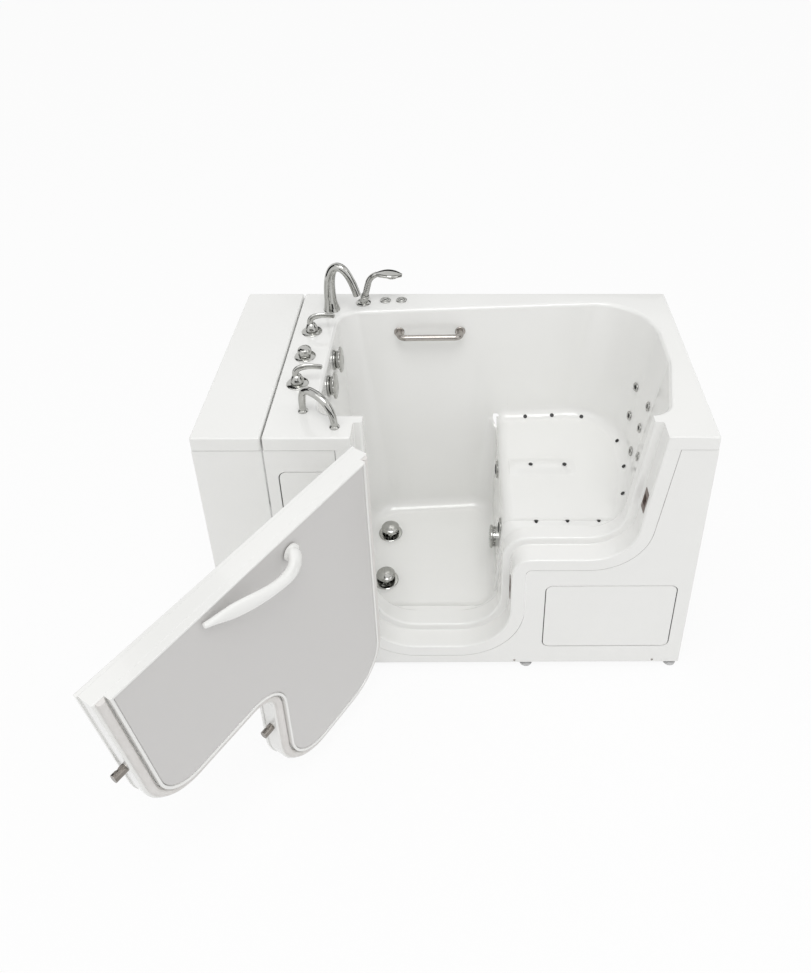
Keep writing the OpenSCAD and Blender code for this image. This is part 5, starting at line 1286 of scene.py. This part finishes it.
def lever():
    hub = turned("hub", CORNER, ease([(0, 8), (21, 8), (21.3, 13), (20, 19), (17.6, 25), (14.6, 31), (10, 35.4),
                                      (0, 37)], 1.2), 64)
    path = curve((-3, 0, 28), (-8, 0, 62), (20, 0, 68), (76, 0, 54), 24)
    part = [k / 24 for k in range(25)]
    arm = sweep("arm", CORNER, path, [9.4 - 0.4 * t + 1.4 * sin(pi * t) ** 2 for t in part],
                [8.6 - 3.9 * t for t in part], sides=28, cap=0.55)
    combine(hub, arm, "UNION")
    return hub


hot_and_cold = [TAP_PLACES[0] @ about_z(radians(10)), TAP_PLACES[2] @ about_z(radians(10))]
for tap, arm in zip(("hot", "cold"), copies_at(lever(), hot_and_cold)):
    arm.name = tap + "_lever_arm"
    finished(arm, tap + "_handle", angle=50)

# %% [markdown]
# Between the levers sits the diverter, which sends the water to the spout or to
# the hand shower. Its dome is turned, and eight finger grips are cut round it.

# %% The diverter's knob
knob = turned("diverter_dome", TAP_PLACES[1],
              ease([(0, 8), (20, 8), (21.8, 12), (22.8, 18), (22.9, 24), (21.4, 30), (18, 33.8), (12, 36.2),
                    (0, 37)], 1), 64)
grips = copies_at(drill(CORNER, 6, 18, 48, 24), [TAP_PLACES[1] @ about_z(k * pi / 4) @ at(27, 0, 0) for k in range(8)])
combine(knob, joined("grips", grips), "DIFFERENCE")
finished(soften(knob, 0.5, angle=40), "diverter_knob")

# %% [markdown]
# The spout is one tube: a wide foot that narrows fast, a long bend and a mouth
# that points down. The foot's flare is part of the same sweep, so the metal
# flows into the deck as it does on a cast spout.

# %% Spout
SPOUT_H, REACH = 178.0, 105.0
spout_frame = at(*SPOUT_AT, DECK_H) @ about_z(radians(-20))
neck = curve((0, 0, 0), (-6, 0, SPOUT_H * 0.45), (-4, 0, SPOUT_H * 0.98), (REACH * 0.36, 0, SPOUT_H), 26)
neck += curve((REACH * 0.36, 0, SPOUT_H), (REACH * 0.66, 0, SPOUT_H * 1.01), (REACH * 0.86, 0, SPOUT_H * 0.7),
              (REACH, 0, SPOUT_H * 0.44), 22, 1)
part = [k / (len(neck) - 1) for k in range(len(neck))]
girth = [13.5 + 9.5 * max(0, 1 - 1.25 * t) ** 1.3 + 6 * max(0, 1 - t / 0.1) ** 2 for t in part]
spout = sweep("spout_body", spout_frame, neck, girth, girth, sides=40)
down = (neck[-1] - neck[-3]).normalized()
mouth_turn = math.atan2(down[0], down[2])
mouth = spout_frame @ at(*neck[-1]) @ about_y(mouth_turn)
combine(spout, drill(mouth, 10.5, -26, 12), "DIFFERENCE")
shank = turned("shank", at(*SPOUT_AT, DECK_H), [(0, -60), (11, -60), (11, 2), (0, 2)], 32)
base = turned("base", at(*SPOUT_AT, DECK_H), ease([(0, 0), (29, 0), (29, 2.2), (27.6, 3.6), (0, 4.5)]), 72)
aerator = turned("aerator", mouth, ease([(6, -14), (10.3, -14), (10.3, -3), (8.8, -2.4), (8.8, -5), (6, -5)]),
                 40, closed=True)
spout = joined("spout_body", [soften(spout, 0.8, angle=50), shank, base, aerator])
finished(spout, "spout", angle=50)

# %% [markdown]
# The hand shower leans in a holder. Its grip is ribbed, and its head is a flat
# oval shell with a spray face, so the tube's section changes from round to wide.

# %% Hand shower and its holder
holder_at = at(*SHOWER_AT, DECK_H)
leaning = holder_at @ about_y(radians(15))
foot = turned("foot", holder_at, ease([(8, -40), (13, -40), (13, 0), (27, 0), (27, 2.6), (24, 4.6), (19, 7), (8, 8)]),
              64, closed=True)
cup = turned("cup", leaning, ease([(8, 6), (14.4, 6), (15, 10), (15, 33), (14.2, 36), (12.2, 36), (12, 12.4), (8, 12)]),
             64, closed=True)
ridge_ring = turned("ring", leaning, ease([(14.4, 24), (16.2, 25), (16.2, 29), (14.4, 30)]), 64, closed=True)
finished(joined("shower_cradle", [foot, cup, ridge_ring]), "shower_holder", angle=50)

grip = [Vector((0, 0, 12.3 + 74 * k / 40)) for k in range(41)]
grip += curve((0, 0, 86.3), (0, 0, 104), (8, 0, 118), (22, 0, 128), 16, 1)
part = [k / (len(grip) - 1) for k in range(len(grip))]
ribs = [10 + 1.5 * sin(pi * t) + (0.55 * sin(2 * pi * k / 4) if 12 < k < 40 else 0) for k, t in enumerate(part)]
handset = sweep("handset", leaning, grip, ribs, ribs, sides=28)
head = curve((16, 0, 125), (44, 0, 138), (74, 0, 146), (108, 0, 146), 24)
broad = [[10, 17, 23, 27, 29, 28, 25, 19, 8][min(8, int(k / 3))] * (1 - (k / 3) % 1)
         + [10, 17, 23, 27, 29, 28, 25, 19, 8][min(8, int(k / 3) + 1)] * ((k / 3) % 1) for k in range(25)]
deep = [6 + 4 * sin(pi * k / 24) for k in range(25)]
combine(handset, sweep("head", leaning, head, deep, broad, sides=36, cap=0.2), "UNION")
face_mid, face_dir = head[15], (head[16] - head[14]).normalized()
face_at = leaning @ at(*face_mid) @ about_y(math.atan2(face_dir[0], face_dir[2]) - pi / 2 + pi)
face = turned("spray_face", face_at, ease([(0, 6), (22, 6), (22.5, 9.2), (21, 10.6), (0, 10.9)]), 56)
nozzles = copies_at(turned("nozzle", CORNER, [(1.3, 10), (1.1, 11.9), (0, 12.1)], 8),
                    [face_at @ about_z(2 * pi * k / n) @ at(r, 0, 0) for r, n in ((5, 5), (11, 10), (17, 16))
                     for k in range(n)])
finished(joined("shower_handset", [handset, face] + nozzles), "hand_shower", angle=50)

# %% [markdown]
# Two push buttons start the water jets and the air jets. Each cap slides in a
# ring that is screwed to the deck, so cap and ring are separate pieces.

# %% Push buttons
cap_profile = [(0, -8), (11.7, -8), (11.7, 4.4), (11.2, 5.4), (9.6, 6.4), (7, 6.9), (6.2, 6.5), (0, 6.2)]
caps = copies_at(turned("cap", CORNER, cap_profile, 48), BUTTON_PLACES)
for node, cap in zip(("jet_button", "air_button"), caps):
    cap.name = node + "_cap"
    finished(cap, node, angle=50)
bezel_profile = ease([(12, -34), (14.7, -34), (14.7, 0), (20, 0), (20, 1.6), (18.6, 3.8), (16.4, 5), (12.6, 5),
                      (12, 4.4)])
bezels = copies_at(turned("bezel", CORNER, bezel_profile, 56, closed=True), BUTTON_PLACES)
finished(joined("button_rings", bezels), "button_bezels", angle=50)

# %% [markdown]
# Two bars help the bather up: a chrome arch on the deck and a brushed steel bar
# on the back wall. Each is a swept tube that bends into its flanges.

# %% Grab bars
arch_at = at(JAMB - 152, 124, DECK_H) @ about_z(radians(-36))
arch = curve((0, 0, 3), (-4, 0, 63), (8, 0, 90), (44, 0, 90), 22) + curve((44, 0, 90), (90, 0, 90), (127, 0, 65),
                                                                         (127, 0, 3), 22, 1)
part = [k / (len(arch) - 1) for k in range(len(arch))]
tube = sweep("arch", arch_at, arch, [10 + 2.4 * sin(pi * t) for t in part], [10 + 2.4 * sin(pi * t) for t in part],
             sides=32)
collar = ease([(0, 0), (15, 0), (15, 2.8), (13.4, 5), (11.2, 7.6), (0, 8)])
arch_ends = [arch_at @ at(x, 0, 0) for x in (0, 127)]
collars = copies_at(turned("collar", CORNER, collar, 48), arch_ends)
studs = copies_at(turned("stud", CORNER, [(0, -18), (4, -18), (4, 1), (0, 1)], 20), arch_ends)
finished(joined("deck_arch", [tube] + collars + studs), "deck_handle", angle=50)

BAR_Z, BAR_X = DECK_H - 92, (BASIN_LEFT + 208, BASIN_LEFT + 428)
bar_at = on_back_wall(sum(BAR_X) / 2, BAR_Z) @ about_z(radians(-1.8))
half, off, bend = 110.0, 46.0, 24.0
run = [Vector((-half, 0, 1)), Vector((-half, 0, off - bend))]
run += [Vector((-half + bend - bend * cos(a), 0, off - bend + bend * sin(a))) for a in quarter(10, 1)]
run += [Vector((-half + bend + (2 * half - 2 * bend) * k / 6, 0, off)) for k in range(1, 7)]
run += [Vector((half - bend + bend * sin(a), 0, off - bend + bend * cos(a))) for a in quarter(10, 1)]
run += [Vector((half, 0, 1))]
rail = sweep("rail", bar_at, run, [11] * len(run), [11] * len(run), sides=32)
plates = [turned("plate", bar_at @ at(x, 0, 0), ease([(0, 1), (19, 1), (18.6, 3.4), (16.8, 5), (11, 5.4),
                                                     (0, 5.4)]), 56)
          for x in (-half, half)]
anchors = [turned("anchor", bar_at @ at(x, 0, 0), [(0, -17), (4, -17), (4, 2), (0, 2)], 20) for x in (-half, half)]
finished(joined("wall_grab_bar", [rail] + plates + anchors), "wall_bar", angle=50)
# %% [markdown]
# Each drain has a chrome ring let into the floor, a dark throat below it and a
# domed stopper that stands a little open. The stopper is a separate piece, so
# that it can rise and fall with its overflow knob.

# %% Drains and stoppers
WASTE_Z = FLOOR_H - SHELL - 48.3 / 2 - 1


def drain():
    body = turned("drain", CORNER, ease(
        [(31, -56), (38, -56), (38, -7.5), (33.6, -7.5), (33.6, 0.2), (45, 0.4), (45, 2), (42.5, 3.4), (37, 4), (33, 4),
         (31, 2)], 0.8), 72, closed=True)
    floor_plate = turned("floor_plate", CORNER, [(0, -60), (38, -60), (38, -56), (0, -56)], 48)
    hub = turned("spider_hub", at(0, 0, -22), [(4.05, 0), (9, 0), (9, 12), (4.05, 12)], 32, closed=True)
    bar = [(-2, 3), (2, 3), (2, 9), (-2, 9)]
    arm = loft("arm", [[MILLIMETRES @ Vector((r, y, z)) for y, z in bar] for r in (7, 32)])
    arms = copies_at(arm, [at(0, 0, -22) @ about_z(radians(30 + 120 * k)) for k in range(3)])
    return joined("drain", [body, floor_plate, hub] + arms)


finished(joined("floor_drains", copies_at(drain(), DRAIN_PLACES)), "drain_bodies", angle=50)
dome = turned("dome", at(0, 0, 24.5), ease([(0, -14), (6, -14), (6, 0), (30, 0), (33.4, 2.2), (34, 4), (34, 6.6),
                                            (31.6, 10), (27, 13), (18, 15.6), (9, 17), (0, 17.5)], 0.9), 72)
stem = turned("stem", CORNER, [(0, -22), (4, -22), (4, 20), (0, 20)], 24)
stoppers = copies_at(joined("stopper", [dome, stem]), DRAIN_PLACES)
for node, stopper in zip(("front_stopper", "back_stopper"), stoppers):
    stopper.name = node + "_dome"
    finished(stopper, node, angle=50)

# %% [markdown]
# The overflow knobs are small scalloped wheels on the end wall. The rim is
# turned, and one round cutter, copied round the axis, makes the finger grips.

# %% Overflow knobs and their plates
wheel = turned("wheel", CORNER, ease([(0, 8), (29, 8), (31, 13), (32.5, 18), (42, 19.6), (44, 21), (44, 22.6),
                                      (42, 24.8), (36, 27), (22, 28.4), (16, 28.6), (14, 27.4), (0, 27.4)], 1), 96)
cutters = copies_at(drill(CORNER, 6, 8, 40, 24), [about_z(2 * pi * k / 12) @ at(47, 0, 0) for k in range(12)])
combine(wheel, joined("cutters", cutters), "DIFFERENCE")
soften(wheel, 0.6, angle=40)
spindle = turned("spindle", CORNER, [(0, -40), (5, -40), (5, 12), (0, 12)], 24)
wheels = copies_at(joined("wheel", [wheel, spindle]), OVERFLOW_PLACES)
for node, knob in zip(("front_overflow_knob", "back_overflow_knob"), wheels):
    knob.name = node + "_wheel"
    finished(knob, node)
body = turned("body", CORNER, ease([(20, -28), (20, -34), (28, -34), (28, -8), (24.7, -8), (24.7, 1.2), (34, 1.2),
                                    (34, 5.6), (32.6, 7.2), (24, 7.2), (20, 6.4)]), 64, closed=True)
cover = turned("cover", CORNER, [(5.05, 1.4), (20.5, 1.4), (20.5, 6.6), (5.05, 6.6)], 48, closed=True)
base = turned("base", CORNER, [(5.05, -34), (20.5, -34), (20.5, -28), (5.05, -28)], 48, closed=True)
bodies = copies_at(joined("overflow", [body, cover, base]), OVERFLOW_PLACES)
finished(joined("overflow_bodies", bodies), "overflow_fittings", angle=50)

# %% [markdown]
# The jets are rings let into the acrylic, with a dark nozzle inside. Those of
# the backrest are small and fixed, and the two in the riser can be turned.

# %% Water jets
small_ring = turned("ring", CORNER, ease([(8, -30), (12, -30), (12, 1.5), (17, 1.6), (17, 2.8), (15.4, 4.6),
                                          (12.6, 5.4), (10, 5.2), (8.2, 4), (8, 2)], 0.5), 48, closed=True)
large_ring = turned("ring", CORNER, ease([(19, -26), (24.7, -26), (24.7, 0.3), (33, 0.4), (33, 2.4), (30.6, 4.8),
                                          (27, 6.3), (21, 6.3), (19, 4.6)], 0.8), 64, closed=True)
rings = copies_at(small_ring, BACK_JET_PLACES) + copies_at(large_ring, FOOT_JET_PLACES)
finished(joined("jet_collars", rings), "jet_rings", angle=50)
core = turned("core", CORNER, ease([(2.5, -20), (7.7, -20), (7.7, 2.6), (6.6, 4), (4, 3.4), (2.5, 1)], 0.4), 32,
              closed=True)
finished(joined("back_jet_cores", copies_at(core, BACK_JET_PLACES)), "back_jet_nozzles", angle=50)
rotor = turned("rotor", CORNER, ease([(0, -20), (18.7, -20), (18.7, 4), (17.4, 7.4), (14, 9), (0, 9)], 1), 64)
ports = copies_at(drill(CORNER, 4, -8, 30, 24), [about_z(2 * pi * k / 3) @ at(7, 0, 0) for k in range(3)])
combine(rotor, joined("ports", ports), "DIFFERENCE")
rotors = copies_at(soften(rotor, 0.5, angle=40), FOOT_JET_PLACES)
for node, nozzle in zip(("front_foot_nozzle", "back_foot_nozzle"), rotors):
    nozzle.name = node + "_rotor"
    finished(nozzle, node)

# %% [markdown]
# The pump draws its water through a cover low on the riser. It is drilled all
# over and slotted round its side, so that hair and cloth can't block it.

# %% Suction cover
suction_at = on_riser(*SUCTION)
cover = turned("suction_grille", CORNER, ease([(0, 0.3), (36, 0.3), (36, 10.3), (41.6, 12), (42, 14), (42, 18),
                                               (39.6, 20.8), (34, 22.4), (20, 23.2), (0, 23.3)], 0.9), 80)
slots = copies_at(drill(CORNER, 2.1, 16, 40, 16), [about_z(2 * pi * k / n) @ at(r, 0, 0)
                                                   for n, r in ((24, 24), (16, 16), (8, 8.5)) for k in range(n)])
side = [(-1.7, 3), (1.7, 3), (1.7, 9), (-1.7, 9)]
side_slot = loft("slot", [[MILLIMETRES @ Vector((r, y, z)) for y, z in side] for r in (31, 44)])
slots += copies_at(side_slot, [about_z(2 * pi * (k + 0.5) / 24) for k in range(24)])
combine(cover, joined("slots", slots), "DIFFERENCE")
socket = turned("socket", CORNER, ease([(27, -30), (31.7, -30), (31.7, 1), (27, 1)]), 56, closed=True)
grille = copies_at(joined("suction_grille", [cover, socket]), [suction_at])[0]
grille.name = "suction_grille"
finished(grille, "suction_cover", angle=40)

# %% [markdown]
# Eleven small air jets sit in the coves and on the seat's ridge. One button is
# turned and copied to each place, and each copy keeps a mesh of its own.

# %% Air jets
dot = turned("air_jet", CORNER, ease([(0, -20), (5.2, -20), (5.2, 1.5), (7.4, 1.5), (7.5, 2.1), (6.6, 2.9), (4, 3.3),
                                      (1.2, 3.0), (0, 2.4)], 0.4), 28)
finished(joined("air_jet_dots", copies_at(dot, AIR_JETS)), "air_jets", angle=50)

# %% [markdown]
# What is left stays out of sight in the picture: the frame, the pump, the blower
# and their pipes. Their CAD shapes are right, so eased copies give them smooth
# round faces, and the frame's pieces, board, feet and draw bar small eased edges.

# %% The hidden pieces
for node in ("base_frame", "posts", "seat_stand", "floor_blocks", "service_board", "levelling_feet", "pump", "blower",
             "waste_pipes", "water_pipes", "air_pipes", "cold_valve", "hot_valve", "diverter_valve",
             "handle_spindle", "draw_bar"):
    width = {"base_frame": 1.5, "posts": 1.5, "seat_stand": 1.5, "floor_blocks": 1.2, "service_board": 1.2,
             "levelling_feet": 0.6, "draw_bar": 0.5}.get(node, 0.0)
    eased_copy(node, width)
